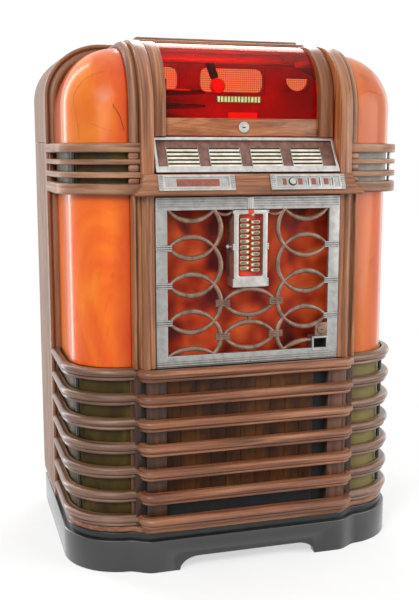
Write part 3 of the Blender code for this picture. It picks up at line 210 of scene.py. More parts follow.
def orange_plastic(name, dark, middle, light, pale, right_sheen_colour):
    """Marbled amber plastic, with painted shade that reddens it beside the left post and a painted sheen
    that pales its right-hand side.
    """
    made = Finish(name, coat_weight=0.58, coat_roughness=0.17, specular_ior_level=0.1)
    cloud = made.noise(made.coords("Object", (5.0, 5.0, 2.2)), detail=4.0, distortion=1.6)
    veins = made.noise(made.coords("Object", (9.0, 9.0, 3.0)), detail=7.0, roughness=0.7, distortion=2.4)
    base = made.ramp(cloud, (0.30, dark), (0.45, middle), (0.58, light), (0.75, pale))
    across = made.spread(made.axis(made.coords(), "X"), 0.0, 1.0, -0.5, 0.5)
    # Painted shade: a band of the amber beside the left post is reddened, for the post's shade on it.
    painted_post_shade = made.ramp(across, (0.15, BLACK), (0.195, (0.7, 0.7, 0.7, 1.0)), (0.30, BLACK))
    # Painted sheen: the right-hand side is paled towards the last colour, for the stronger light there.
    painted_right_sheen = made.ramp(across, (0.50, BLACK), (0.60, (0.65, 0.65, 0.65, 1.0)))
    base = made.mix(painted_post_shade, base, "CC360C")
    base = made.mix(painted_right_sheen, base, right_sheen_colour)
    smoke = made.ramp(veins, (0.28, (0.70, 0.52, 0.46, 1.0)), (0.42, WHITE))
    return made.done(made.mix(0.6, base, smoke, "MULTIPLY"), veins, 0.28, 0.42, cloud, 0.06, 0.004)


def olive_plastic():
    """Smoky olive plastic, with a painted sheen that pales its right-hand side."""
    made = Finish("olive_plastic", coat_weight=0.05, coat_roughness=0.25, specular_ior_level=0.15)
    cloud = made.noise(made.coords("Object", (7.0, 7.0, 3.0)), detail=5.0, distortion=1.0)
    base = made.ramp(cloud, (0.30, "281D09"), (0.52, "483A14"), (0.72, "6E6030"))
    # Painted sheen: the right-hand side is paled, for the stronger light there.
    painted_right_sheen = made.spread(made.axis(made.coords(), "X"), 0.0, 0.55, 0.0, 0.1)
    return made.done(made.mix(painted_right_sheen, base, "9A8E5E"), cloud, 0.35, 0.52, cloud, 0.05, 0.003)


def cast_metal(name, dark, light, gloss, metallic=1.0):
    """Worn cast metal with soft tarnish and a fine tooth."""
    made = Finish(name, metallic=metallic)
    tarnish = made.noise(made.coords(), 48.0, 5.0, 0.65, 0.3)
    tooth = made.noise(made.coords("Object", (130.0, 130.0, 130.0)), 6.0, 3.0)
    colour = made.ramp(tarnish, (0.30, dark), (0.66, light))
    return made.done(colour, tarnish, gloss + 0.14, gloss - 0.08, tooth, 0.06, 0.0006)


def black_lacquer():
    """Satin black paint, rubbed and scratched."""
    made = Finish("black_lacquer", coat_weight=0.9, coat_roughness=0.14, coat_ior=1.5)
    rub = made.noise(made.coords("Object", (3.0, 3.0, 9.0)), 2.0, 5.0, 0.65)
    nicks = made.noise(made.coords("Object", (12.0, 12.0, 90.0)), 3.0, 6.0, 0.75, 1.0)
    paint = made.ramp(rub, (0.35, "0B0B0C"), (0.70, "1A1A1B"))
    wear = made.ramp(nicks, (0.70, BLACK), (0.76, WHITE))
    return made.done(made.mix(wear, paint, "7C7874"), rub, 0.30, 0.52, nicks, 0.10, 0.0008)


def red_backing():
    """Red sheet behind the lattice, mottled at random between dark maroon and bright orange: the dark
    patches are painted shadows of the rings, the bright ones a painted glow.
    """
    made = Finish("red_painted_shadows_and_glow", specular_ior_level=0.25)
    cloud = made.noise(made.coords("Object", (15.0, 15.0, 13.0)), detail=1.0, distortion=0.2)
    # Painted shadows and glow: the dark end of the ramp stands for soft ring shadows, the bright end for
    # light through the sheet.
    base = made.ramp(cloud, (0.32, "561009"), (0.44, "92240F"), (0.56, "C8401A"), (0.70, "E65E2C"))
    return made.done(base, cloud, 0.40, 0.6, cloud, 0.05, 0.002)


def red_window():
    """Clear red sheet, slightly hazed."""
    made = Finish("red_window", transmission_weight=1.0, ior=1.17, specular_ior_level=0.5)
    haze = made.noise(made.coords(), 9.0, 4.0)
    tint = made.ramp(haze, (0.35, "FF6C42"), (0.65, "FF764A"))
    return made.done(tint, haze, 0.0, 0.02, haze, 0.008, 0.001)


def lined_board():
    """Plain board whose inner face, towards the front, is painted red."""
    made = Finish("lined_board", specular_ior_level=0.25)
    grain = made.noise(made.coords(*PLAIN_GRAIN), detail=5.0, distortion=0.9)
    wear = made.noise(made.coords(), 12.0, 5.0)
    plain = made.ramp(grain, (0.30, "4A2E1C"), (0.50, "6B452C"), (0.72, "876042"))
    lining = made.ramp(wear, (0.35, "A00C0C"), (0.65, "C41814"))
    facing = made.axis(made.node("TexCoord").outputs["Normal"], "Y")
    colour = made.mix(made.spread(facing, 0.0, 1.0, -0.4, -0.6), plain, lining)
    return made.done(colour, grain, 0.68, 0.52, grain, 0.20, 0.0006)


def painted(name, dark, light, scale, low=0.45, high=0.65, weave=False):
    """A plain card, cloth or paint with mottling and, where asked, a woven tooth."""
    made = Finish(name)
    cloud = made.noise(made.coords(), scale, 5.0, 0.6)
    colour = made.ramp(cloud, (0.33, dark), (0.66, light))
    tooth = made.noise(made.coords(), 900.0 if weave else 300.0, 2.0)
    return made.done(colour, cloud, high, low, tooth, 0.25 if weave else 0.08, 0.0005)


def mesh_cloth():
    """Open woven cloth over the vents."""
    made = Finish("vent_cloth", roughness=0.8)
    waves = [made.node("TexWave", {"Vector": made.coords(), "Scale": 46.0, "Distortion": 0.3},
                       bands_direction=axis).outputs["Fac"] for axis in ("X", "Z")]
    weave = made.node("Math", {0: waves[0], 1: waves[1]}, operation="MAXIMUM").outputs[0]
    made.set("Base Color", made.ramp(weave, (0.3, "6C563C"), (0.8, "A08A68")))
    made.set("Alpha", made.spread(weave, 0.0, 0.38, 0.68, 1.0))
    made.bump(weave, 0.4, 0.0006)
    return made.made


WALNUT_RUN = wood("walnut_run", RUN, "5E3823", "94603F", "BC865E")
WALNUT_BAR = wood("walnut_bar", RUN, "52301F", "865236", "B27C59", 0.36, 0.55)
# The corner bars' greyer walnut is partly their own tone and partly painted sheen.
WALNUT_CORNER = wood("walnut_corner", RUN, "482F24", "76543F", "A07D67", 0.36, 0.55)
WALNUT_BAND = wood("walnut_band", RUN, "62402C", "966C50", "BA8C6E", 0.50, 0.22)
WALNUT_POST = wood("walnut_post", RUN, "663A24", "965F3A", "B67E58", 0.40, 0.7)
WALNUT_REED = wood("walnut_reed", RUN, "7A4E35", "8C5A3C", "9E6A4A")
# Painted shade: a darker copy of the run walnut for the right-hand lid bow, in the post's shade.
WALNUT_PAINTED_SHADE = wood("walnut_painted_shade", RUN, "5A3018", "84502E", "A4704A")
WALNUT_LUG = wood("walnut_lug", ACROSS, "754E3A", "A0735A", "BE9078")
# Painted light: a brighter orange copy of the post walnut for the posts' lit inner flanks.
WALNUT_LIT_FLANK = wood("walnut_painted_lit_flank", UP, "8A4A22", "B8683A", "D2864E")
WALNUT_DARK = wood("walnut_dark", UP, "22130B", "3C2417", "573623")
WALNUT_MID = wood("walnut_mid", UP, "3E261B", "62402F", "7E5641")
WALNUT_UP = wood("walnut_up", UP, "5A3420", "87502E", "A96C40")
WALNUT_ACROSS = wood("walnut_across", ACROSS, "5C3A28", "8C5B3F", "B07B57")
FIGURED = wood("figured_veneer", ("Object", (7.0, 40.0, 75.0)), "723E22", "9C5E38", "B87A50", 0.32)
# Painted sheen: the side and hoop veneer's base colour is paled and greyed for the light's sheen at a low
# angle, over the walnut's own tone.
VENEER = ("6C4E3F", "917059", "AC8A76", 0.55, 0.10)
SIDE_VENEER = wood("side_veneer", ("Object", (60.0, 60.0, 4.0)), *VENEER)
HOOP_VENEER = wood("hoop_veneer_painted_sheen", ("UV", (4.0, 60.0, 1.0)), *VENEER)
BOARD = wood("plain_board", PLAIN_GRAIN, "4A2E1C", "6B452C", "876042", 0.58)
SLAT = wood("baffle_slat", ("Object", (16.0, 60.0, 3.0)), "281506", "48280F", "6C4118", 0.6, 0.05)
# The last colour of each amber is its painted sheen on the right-hand side.
AMBER = orange_plastic("amber_plastic", "E04C08", "F2660C", "FA7A12", "FA9440", "B65C38")
AMBER_DOME = orange_plastic("amber_dome", "C24004", "D65A06", "E26E08", "EA8A2A", "B2643A")
OLIVE = olive_plastic()
ALUMINIUM = cast_metal("cast_aluminium", "898885", "A7A5A1", 0.40, 0.88)
BRIGHT = cast_metal("bright_aluminium", "A09E9A", "C2BFBA", 0.32, 0.85)
BRONZE = cast_metal("worn_bronze", "5E4536", "947663", 0.26, 0.42)
BRASS = cast_metal("old_brass", "837150", "BAA986", 0.34, 0.9)
STEEL = cast_metal("plain_steel", "6E6E6C", "A9A9A6", 0.38)
LACQUER = black_lacquer()
BACKING = red_backing()
WINDOW = red_window()
CARD = painted("maroon_cloth", "54362C", "7E584A", 60.0, weave=True)
STRIP = painted("cream_card", "C9BFA6", "EDE4D0", 40.0)
LABEL = painted("brown_label", "6C3628", "96523E", 70.0, 0.3, 0.45)
SELECTOR_RED = painted("selector_red", "B61A10", "F0441C", 30.0, 0.25, 0.4)
SMOKED = painted("smoked_label", "5B5045", "7C7064", 120.0, 0.2, 0.35)
IVORY = painted("ivory_dot", "E6D9BC", "FFF6E0", 90.0, 0.3, 0.4)
TAB = painted("yellow_tab", "A8A05A", "E0D890", 90.0)
PAPER = painted("speaker_paper", "17130F", "2C2620", 50.0, 0.8, 0.95, True)
# The selector cheeks' taupe is partly their own colour and partly painted shade from the opening.
TAUPE = painted("taupe_with_painted_shade", "684636", "8E6654", 60.0, 0.35, 0.5)
# Painted sheen: a paler grey-green copy of the olive plastic, for the lit right-hand head between the bands.
OLIVE_RIGHT_SHEEN = painted("olive_painted_right_sheen", "6E675A", "938B7E", 20.0, 0.3, 0.45)
CRACK = painted("crack_line", "541C0E", "7A3016", 90.0)
FAINT_CRACK = painted("faint_crack", "9A3C14", "BC561E", 90.0)
LINED = lined_board()
# Black for dark parts, and painted shade: black sheets and fills put in slots, wells and gaps where there is
# only shade.
BLACK_AND_PAINTED_SHADE = painted("black_and_painted_shade", "050505", "0E0D0C", 40.0, 0.7, 0.9)
SHELLAC = painted("shellac", "0C0B0B", "1B1919", 30.0, 0.18, 0.32)
VENT = mesh_cloth()


# Mesh tools
def back(depth):
    return FACE_Y + depth


def up(height):
    """A height on the grille, from its foot."""
    return GRILLE_BOTTOM + height


def about(middle, half):
    return (middle - half, middle + half)


def on_side(sign, near, far):
    """A range of x on one side of the middle."""
    return sorted((sign * near, sign * far))


def mirrored(half):
    """A right-hand outline closed by its own mirror."""
    return np.vstack([half, (half * (-1, 1))[::-1]])


def raised(plan, heights):
    """A plan of (x, depth) as points in space, at one height or at one for each point."""
    return np.stack([plan[:, 0], back(plan[:, 1]), np.broadcast_to(heights, len(plan))], axis=1)


def arc(centre, radii, start, end, steps):
    """Points on a round or elliptical arc, both ends included, angles in degrees."""
    wide, tall = np.broadcast_to(radii, 2)
    angles = np.radians(np.linspace(start, end, steps + 1))
    return np.stack([centre[0] + wide * np.cos(angles), centre[1] + tall * np.sin(angles)], axis=1)


def circle(centre, radius, sides=16):
    return arc(centre, radius, 0, 360 - 360 / sides, sides - 1)


def rectangle(xs, ys):
    return [(xs[0], ys[0]), (xs[1], ys[0]), (xs[1], ys[1]), (xs[0], ys[1])]


def soft_rectangle(low, high, radius):
    """A closed section between two corners with round edges."""
    left, foot = low[0] + radius, low[1] + radius
    right, head = high[0] - radius, high[1] - radius
    corners = ((right, foot, -90), (right, head, 0), (left, head, 90), (left, foot, 180))
    return np.vstack([arc((x, y), radius, start, start + 90, 4) for x, y, start in corners])


def linked(name, data):
    made = bpy.data.objects.new(name, data)
    bpy.context.scene.collection.objects.link(made)
    return made


def evaluated(thing):
    """The mesh of a curve, or of an object with its modifiers applied."""
    bpy.context.view_layer.update()
    return bpy.data.meshes.new_from_object(thing.evaluated_get(bpy.context.evaluated_depsgraph_get()))


def piece(name, mesh, material, body, nodes=(), sharp=38):
    """Link a mesh that is in world coordinates as a piece of a body, standing for CAD nodes."""
    work = bmesh.new()
    work.from_mesh(mesh)
    bmesh.ops.remove_doubles(work, verts=work.verts, dist=1e-6)
    bmesh.ops.recalc_face_normals(work, faces=work.faces)
    work.to_mesh(mesh)
    work.free()
    mesh.materials.clear()
    mesh.materials.append(material)
    mesh.shade_smooth()
    mesh.set_sharp_from_angle(angle=math.radians(sharp))
    made = linked(name, mesh)
    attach(made, body)
    if nodes:
        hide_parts(*nodes)
    return made


def swept(path, section, plane):
    """Rings of a section carried along a flat path with mitred bends.

    The section's first axis points to the path's right and its second along the plane's normal.
    """
    path = np.asarray(path, dtype=float)
    section = np.asarray(section, dtype=float)
    steps = np.diff(path, axis=0)
    steps /= np.linalg.norm(steps, axis=1)[:, None]
    rights = np.stack([steps[:, 1], -steps[:, 0]], axis=1)
    before = np.vstack([rights[:1], rights])
    after = np.vstack([rights, rights[-1:]])
    normals = before + after
    normals /= np.linalg.norm(normals, axis=1)[:, None]
    normals /= np.sum(normals * after, axis=1)[:, None]
    flat = path[:, None, :] + normals[:, None, :] * section[None, :, :1]
    level = np.broadcast_to(section[None, :, 1], flat.shape[:2])
    first, second = flat[..., 0], flat[..., 1]
    places = {"plan": (first, back(second), level), "side": (level, back(first), second),
              "front": (first, back(level), second)}
    return np.stack(places[plane], axis=-1)


def run_length(points):
    """How far each point lies along a line of points."""
    return np.concatenate([[0.0], np.cumsum(np.linalg.norm(np.diff(points, axis=0), axis=1))])


def loft(name, rings, material, body=HOUSE, nodes=(), closed=True, sharp=38):
    """Skin a row of rings, with the grain's coordinates in metres along and round them."""
    rings = np.asarray(rings, dtype=float)
    count, width = rings.shape[:2]
    index = np.arange(count * width).reshape(count, width).tolist()
    faces = []
    for ring, after in zip(index, index[1:]):
        for column in range(width if closed else width - 1):
            beside = (column + 1) % width
            faces.append((ring[column], ring[beside], after[beside], after[column]))
    if closed:
        faces += [index[0], index[-1][::-1]]
    mesh = bpy.data.meshes.new(name)
    mesh.from_pydata(rings.reshape(-1, 3).tolist(), [], faces)
    shift = (sum(map(ord, name)) % 97) / 7.0 + rings[0, 0, 2] * 13.0
    grid = np.meshgrid(run_length(rings.mean(axis=1)) + shift, run_length(rings[0]) + shift, indexing="ij")
    places = np.stack(grid, axis=-1).reshape(-1, 2)
    corners = np.empty(len(mesh.loops), dtype=np.int32)
    mesh.loops.foreach_get("vertex_index", corners)
    mesh.uv_layers.new(name="grain").data.foreach_set("uv", places[corners].ravel())
    return piece(name, mesh, material, body, nodes, sharp)


def both(name, rings, material, body=HOUSE, stem=None, **settings):
    """A right-hand loft and its left-hand twin."""
    pair = []
    for side, sign in SIDES:
        nodes = (f"{stem}_{side}",) if stem else ()
        twin = np.asarray(rings) * (sign, 1.0, 1.0)
        pair.append(loft(f"{name}_{side}", twin, material, body, nodes, **settings))
    return pair


PLANES = {
    "plan": Matrix(((1, 0, 0, 0), (0, 1, 0, FACE_Y), (0, 0, 1, 0), (0, 0, 0, 1))),
    "front": Matrix(((1, 0, 0, 0), (0, 0, -1, FACE_Y), (0, 1, 0, 0), (0, 0, 0, 1))),
}


def plate_mesh(name, outlines, low, high, plane, edge):
    """Mesh of a flat plate, holes included, with round edges, between two distances along the normal."""
    curve = bpy.data.curves.new(name, "CURVE")
    curve.dimensions = "2D"
    curve.fill_mode = "BOTH"
    for outline in outlines:
        spline = curve.splines.new("POLY")
        spline.points.add(len(outline) - 1)
        for point, place in zip(spline.points, outline):
            point.co = (place[0], place[1], 0.0, 1.0)
        spline.use_cyclic_u = True
    curve.bevel_depth = edge
    curve.bevel_resolution = 2
    curve.offset = -edge
    curve.extrude = (high - low) / 2 - edge
    holder = linked(name, curve)
    mesh = evaluated(holder)
    matrix = PLANES[plane] if isinstance(plane, str) else plane
    mesh.transform(matrix @ Matrix.Translation((0, 0, (low + high) / 2)))
    bpy.data.objects.remove(holder)
    return mesh


def plate(name, outlines, low, high, plane, material, body=HOUSE, nodes=(), edge=0.0008):
    return piece(name, plate_mesh(name, outlines, low, high, plane, edge), material, body, nodes)


def front_plate(name, outlines, near, far, material, body=HOUSE, nodes=(), edge=0.0008):
    """A plate facing the viewer, between two depths."""
    return plate(name, outlines, -far, -near, "front", material, body, nodes, edge)


def block(name, xs, depths, heights, material, body=HOUSE, edge=0.0015):
    """A block with round edges, given by its ranges of x, depth and height."""
    lows, highs = zip(xs, depths, heights)
    size = [b - a for a, b in zip(lows, highs)]
    middle = [(a + b) / 2 for a, b in zip(lows, highs)]
    work = bmesh.new()
    place = Matrix.Translation(middle) @ Matrix.Diagonal((*size, 1.0))
    bmesh.ops.create_cube(work, size=1.0, matrix=place)
    bmesh.ops.bevel(work, geom=work.edges[:], offset=edge, segments=3, profile=0.5, affect="EDGES")
    mesh = bpy.data.meshes.new(name)
    work.to_mesh(mesh)
    work.free()
    mesh.transform(Matrix.Translation((0, FACE_Y, 0)))
    return piece(name, mesh, material, body)


def turned(name, profile, matrix, material, body=HOUSE, nodes=(), steps=32):
    """A (radius, height) profile turned about the matrix's Z axis."""
    angles = np.linspace(0, 2 * math.pi, steps, endpoint=False)
    profile = np.asarray(profile, dtype=float)
    rings = np.stack([np.outer(profile[:, 0], np.cos(angles)), np.outer(profile[:, 0], np.sin(angles)),
                      np.repeat(profile[:, 1:], steps, axis=1)], axis=-1)
    turn = np.array(matrix.to_3x3())
    return loft(name, rings @ turn.T + np.array(matrix.translation), material, body, nodes)


def tilted(place, degrees, axis):
    return Matrix.Translation(place) @ Matrix.Rotation(math.radians(degrees), 4, axis)


def rod_rings(start, end, radius, sides=14):
    """Rings of a straight bar with softened ends."""
    start, end = Vector(start), Vector(end)
    turn = (end - start).to_track_quat("Z", "Y").to_matrix()
    length = (end - start).length
    soft = min(radius * 0.3, length * 0.2)
    steps = ((radius - soft, 0.0), (radius, soft), (radius, length - soft), (radius - soft, length))
    return [[tuple(start + turn @ Vector((x, y, height))) for x, y in circle((0, 0), reach, sides)]
            for reach, height in steps]


def leaning_plane(foot, head):
    """A frame on a leaning face: x along it, then up it, then out of it. Points are (depth, height)."""
    rise = Vector((0.0, head[0] - foot[0], head[1] - foot[1]))
    slope = rise.normalized()
    level = Vector((1.0, 0.0, 0.0))
    matrix = Matrix((level, slope, level.cross(slope))).transposed().to_4x4()
    matrix.translation = (0.0, back(foot[0]), foot[1])
    return matrix, rise.length


# Foot and cabinet
def lobed_outline(front, radius, rear):
    """A plan with a soft step back from the front into each round corner."""
    start = 0.262
    lobe = arc((CORNER_X, CORNER_DEPTH), radius, -84, 0, 32)
    share = np.linspace(0.0, 1.0, 13)[:-1]
    ease = 0.5 - 0.5 * np.cos(math.pi * share)
    step = np.stack([start + (lobe[0, 0] - start) * share, front + (lobe[0, 1] - front) * ease], axis=1)
    return mirrored(np.vstack([step, lobe, [(CORNER_X + radius, rear)]]))


def dress_foot():
    outer = lobed_outline(-0.008, 0.160, REAR_DEPTH)
    inner = lobed_outline(0.022, 0.130, REAR_DEPTH - 0.030)
    walls = plate("plinth_walls", [outer, inner], 0.0, PLINTH_BODY_TOP, "plan", LACQUER,
                  nodes=("plinth",), edge=0.003)
    arch = mirrored(np.vstack([[(0.193, -0.030)], arc((0.140, 0.0), (0.053, 0.036), 0, 90, 14)]))
    cutter = linked("cutter", plate_mesh("cutter", [arch], -0.060, 0.060, "front", 0.0))
    cut = walls.modifiers.new("opening", "BOOLEAN")
    cut.operation = "DIFFERENCE"
    cut.object = cutter
    shaped = evaluated(walls)
    walls.modifiers.clear()
    walls.data = shaped
    bpy.data.objects.remove(cutter)
    half, rear_end = 0.4785, REAR_DEPTH - 0.010
    ledge = lobed_outline(0.002, 0.150, rear_end)
    # Painted shade: the ledge takes the darker, unworn black for the shade under the lowest bar.
    plate("plinth_ledge", [ledge], PLINTH_BODY_TOP - 0.003, PLINTH_TOP, "plan", SHELLAC, edge=0.004)
    board = lobed_outline(-0.0074, 0.152, CORNER_END)
    rear = np.array([(half, CORNER_END), (half, rear_end)])
    middle = len(board) // 2
    board = np.vstack([board[:middle], mirrored(rear), board[middle:]])
    plate("base_moulding", [board], PLINTH_TOP + GAP, BASE_TOP, "plan", WALNUT_ACROSS,
          nodes=("base_board",), edge=0.006)


def arch_outline(inset, foot):
    """The cabinet's arch seen from the front, drawn in by an inset."""
    width, height = 0.162, 0.146
    bend = arc((SHELL_HALF - width, CABINET_TOP - height), (width - inset, height - inset), 0, 90, 26)
    return mirrored(np.vstack([[(SHELL_HALF - inset, foot)], bend]))


def arch_rings(section, foot):
    """Rings of a section of (inset, depth) carried round the cabinet's arch."""
    rings = []
    for inset, depth in section:
        x, z = arch_outline(inset, foot).T
        rings.append(np.stack([x, np.full(len(x), back(depth)), z], axis=1))
    return np.stack(rings, axis=1)


def dress_shell():
    seam = BANDS_TOP + 0.004
    soft = 0.001
    front, rear = SHELL_FRONT, REAR_DEPTH
    hoop = [(0.0, front + soft), (0.0, rear - soft), (soft, rear), (SHELL_THICK - soft, rear),
            (SHELL_THICK, rear - soft), (SHELL_THICK, front + soft), (SHELL_THICK - soft, front),
            (soft, front)]
    loft("shell_hoop", arch_rings(hoop, seam + 0.0012), HOOP_VENEER, nodes=("cabinet_shell",))
    for side, sign in SIDES:
        panel = rectangle(on_side(sign, SHELL_HALF, SHELL_HALF - SHELL_THICK), (BASE_REST, seam))
        front_plate("shell_side_" + side, [panel], front, rear, SIDE_VENEER, edge=soft)
    crest, rest = 0.3525, front - GAP
    reeds = [(0.0, rest), (0.0, 0.354)]
    for middle, half in ((0.0066, 0.0060), (0.0266, 0.0128)):
        reeds += list(arc((middle, crest), (half, 0.0068), 180, 360, 12))
    reeds += [(0.0400, crest), (0.0400, rest)]
    loft("arch_reeds", arch_rings(reeds, BASE_REST), WALNUT_REED, nodes=("arch_trim",))


# Posts, plastics, bands and louvres
def bent_path(front, centre, top, foot, rear):
    """Front line of a strip that rises and then bends back over the top, as (depth, height)."""
    bend = arc(centre, (centre[0] - front, top - centre[1]), 180, 90, 22)
    return np.vstack([[(front, foot)], bend, [(rear, top)]])


def dress_posts():
    front, centre, top, foot = 0.003, (0.205, 1.205), 1.388, up(GAP)
    flat = soft_rectangle((0.0, POST_INNER_X), (0.045, POST_FLAT_X), 0.003)
    strip = bent_path(front, centre, top, foot, CORNER_END)
    both("post_strip", swept(strip, flat, "side"), WALNUT_POST, stem="front_post")
    # Painted light: the inner flank carries the lit copy of the post walnut.
    flank = rectangle((0.004, 0.044), (POST_INNER_X - 0.0006, POST_INNER_X + 0.0010))
    strip = bent_path(front, centre, top, SHELF_TOP, CORNER_END)
    both("post_flank", swept(strip, flank, "side"), WALNUT_LIT_FLANK)
    strip = bent_path(0.034, centre, 1.3705, BANDS_TOP + GAP, CORNER_END)
    both("post_bead", swept(strip, circle((0.0, 0.2950), 0.0128, 20), "side"), WALNUT_BAND)
    upright = [(0.0, foot), (0.0, BANDS_FOOT - GAP)]
    tall = [(0.0, foot), (0.0, SHELF_BOTTOM - GAP)]
    wall = soft_rectangle((0.0475, POST_INNER_X), (0.095, POST_FLAT_X), 0.002)
    hollow = arc((0.2900, 0.012), (0.0075, 0.006), 180, 0, 8)[:, ::-1]
    cove = np.vstack([[(0.046, 0.2825), (0.012, 0.2825)], hollow,
                      [(0.012, POST_OUTER_X), (0.046, POST_OUTER_X)]])
    for name, path, section in (("wall", upright, wall), ("cove", upright, cove),
                                ("thin_bead", upright, circle((0.013, 0.301), 0.0044)),
                                ("wide_bead", tall, circle((0.006, 0.2725), 0.0090, 20))):
        both("post_" + name, swept(path, section, "side"), WALNUT_RUN)


def corner_path(radius, inner_x):
    """Plan of a line round the right front corner, as (x, depth)."""
    bend = arc((CORNER_X, CORNER_DEPTH), radius, -90, 0, 30)
    return np.vstack([[(inner_x, CORNER_DEPTH - radius)], bend, [(CORNER_X + radius, CORNER_END)]])


def corner_point(radius, turn):
    """Plan of one point round that corner, turned from the front, in radians."""
    return np.array((CORNER_X + radius * math.sin(turn), CORNER_DEPTH - radius * math.cos(turn)))


def dress_domes():
    base = corner_path(DOME_RADIUS, 0.3060)
    share = np.clip((base[:, 1] - CORNER_DEPTH) / (CORNER_END - CORNER_DEPTH), 0.0, 1.0)
    spring = DOME_SPRING + share * (1.175 - DOME_SPRING)
    top = DOME_TOP + share * (1.3755 - DOME_TOP)
    spine = np.stack([np.full(len(base), DOME_SPINE[0]), np.maximum(base[:, 1], DOME_SPINE[1])], axis=1)
    rings = [raised(base, BANDS_TOP + rise) for rise in (GAP, 0.0015)]
    for angle in np.radians(np.linspace(0, 90, 25)):
        plan = spine + (base - spine) * math.cos(angle)
        rings.append(raised(plan, spring + (top - spring) * math.sin(angle)))
    for dome in both("dome", rings, AMBER_DOME, stem="upper_dome", closed=False, sharp=60):
        wall = dome.modifiers.new("wall", "SOLIDIFY")
        wall.thickness = 0.004
        wall.offset = -1.0


def crack(name, sign, stops, radius, material=FAINT_CRACK):
    """A fine crack on a dome, through stops of (degrees round from the front, height)."""
    stops = np.array(stops)
    share = np.linspace(0, len(stops) - 1, 6 * len(stops))
    degrees, heights = (np.interp(share, range(len(stops)), column) for column in stops.T)
    spine = np.array(DOME_SPINE)
    points = []
    for turn, height in zip(np.radians(degrees), heights):
        rise = max(0.0, min(1.0, (height - DOME_SPRING) / (DOME_TOP - DOME_SPRING)))
        x, depth = spine + (corner_point(DOME_RADIUS, turn) - spine) * math.sqrt(1.0 - rise * rise)
        points.append(Vector((sign * x, back(depth), height)))
    rings = []
    for before, point, after in zip([points[0]] + points, points, points[1:] + [points[-1]]):
        turn = (after - before).to_track_quat("Z", "Y").to_matrix()
        rings.append([tuple(point + turn @ Vector((x, y, 0.0))) for x, y in circle((0, 0), radius, 6)])
    loft(name, rings, material)


def dress_cracks():
    long_crack = ((22.5, 1.297), (33.0, 1.290), (45.0, 1.279), (53.0, 1.257), (57.5, 1.236), (56.5, 1.216),
                  (54.0, 1.193), (49.0, 1.126))
    slash = ((12.0, 1.216), (11.5, 1.210), (8.5, 1.200), (5.5, 1.187), (1.5, 1.152))
    crack("dome_crack_long", -1, long_crack, 0.0005)
    crack("dome_crack_slash", -1, slash, 0.0011, CRACK)
    crack("dome_crack_faint", -1, ((40.0, 1.173), (26.5, 1.160), (14.0, 1.150)), 0.0004)
    crack("dome_crack_right", 1, ((6.5, 1.2565), (16.0, 1.259), (26.0, 1.2565), (36.0, 1.250)), 0.0006)


def corner_sheet(radius, thick, low, high):
    """Rings of an upright sheet round the right front corner."""
    return swept(corner_path(radius, 0.3065), rectangle((-thick, 0.0), (low, high)), "plan")


def dress_columns():
    both("column", corner_sheet(0.1335, 0.004, up(GAP), BANDS_FOOT - GAP), AMBER, stem="lower_column")
    foot = corner_sheet(0.1375, 0.0070, BASE_REST, LOUVRE_TOPS[0])
    both("inner_column_foot", foot, OLIVE, stem="inner_column")
    head = corner_sheet(0.1375, 0.0070, BANDS_FOOT, BANDS[-1][0])
    # Painted sheen: the right-hand head takes the paler copy, the left-hand one the olive.
    pair = both("inner_column_head", head, OLIVE_RIGHT_SHEEN)
    pair[1].data.materials[0] = OLIVE


def dress_bands():
    path = corner_path(0.141, POST_FLAT_X + 0.0005)
    reach = 0.022
    for index, (low, high) in enumerate(BANDS, 1):
        edge = 0.0040 if high - low > 0.02 else 0.0030
        section = np.vstack([[(0.0, low)], arc((reach - edge, low + edge), edge, -90, 0, 5),
                             arc((reach - edge, high - edge), edge, 0, 90, 5), [(0.0, high)]])
        stem = "corner_bands" if index == 1 else None
        both(f"band_{index}", swept(path, section, "plan"), WALNUT_BAND, stem=stem)
    for side, sign in SIDES:
        xs = on_side(sign, 0.284, 0.3115)
        for index, (lower, upper) in enumerate(zip(BANDS, BANDS[1:]), 1):
            heights = (lower[1] - 0.001, upper[0] + 0.001)
            block(f"band_lug_{side}_{index}", xs, (0.0205, 0.036), heights, WALNUT_LUG, edge=0.0060)
        xs = on_side(sign, 0.458, 0.470)
        block("band_back_" + side, xs, CORNER_STRIP, (0.997, 1.1175), WALNUT_UP)


def louvre_section(top, reach=0.0228):
    """A half-round above a groove and a small lip, as (reach, height)."""
    nose, lip = 0.011, 0.005
    return np.vstack([[(0.0, top)], arc((reach - nose, top - nose), nose, 90, -80, 14),
                      arc((0.0098, top - 0.026), lip, 60, -90, 8), [(0.0, top - 0.031)]])


def dress_louvres():
    corner = corner_path(0.142, 0.2935)
    corner[0, 1] -= 0.0035
    bend = 0.016
    centre = (0.279 - bend, -0.007 + bend)
    right = np.vstack([arc(centre, bend, -90, 0, 10), [(centre[0] + bend, 0.018)]])
    front = np.vstack([(right * (-1, 1))[::-1], right])
    for index, top in enumerate(LOUVRE_TOPS, 1):
        stem, nodes = ("corner_louvres", ("front_louvres",)) if index == 1 else (None, ())
        bar = swept(corner, louvre_section(top, 0.0210), "plan")
        both(f"corner_bar_{index}", bar, WALNUT_CORNER, stem=stem)
        loft(f"front_bar_{index}", swept(front, louvre_section(top), "plan"), WALNUT_BAR, nodes=nodes)


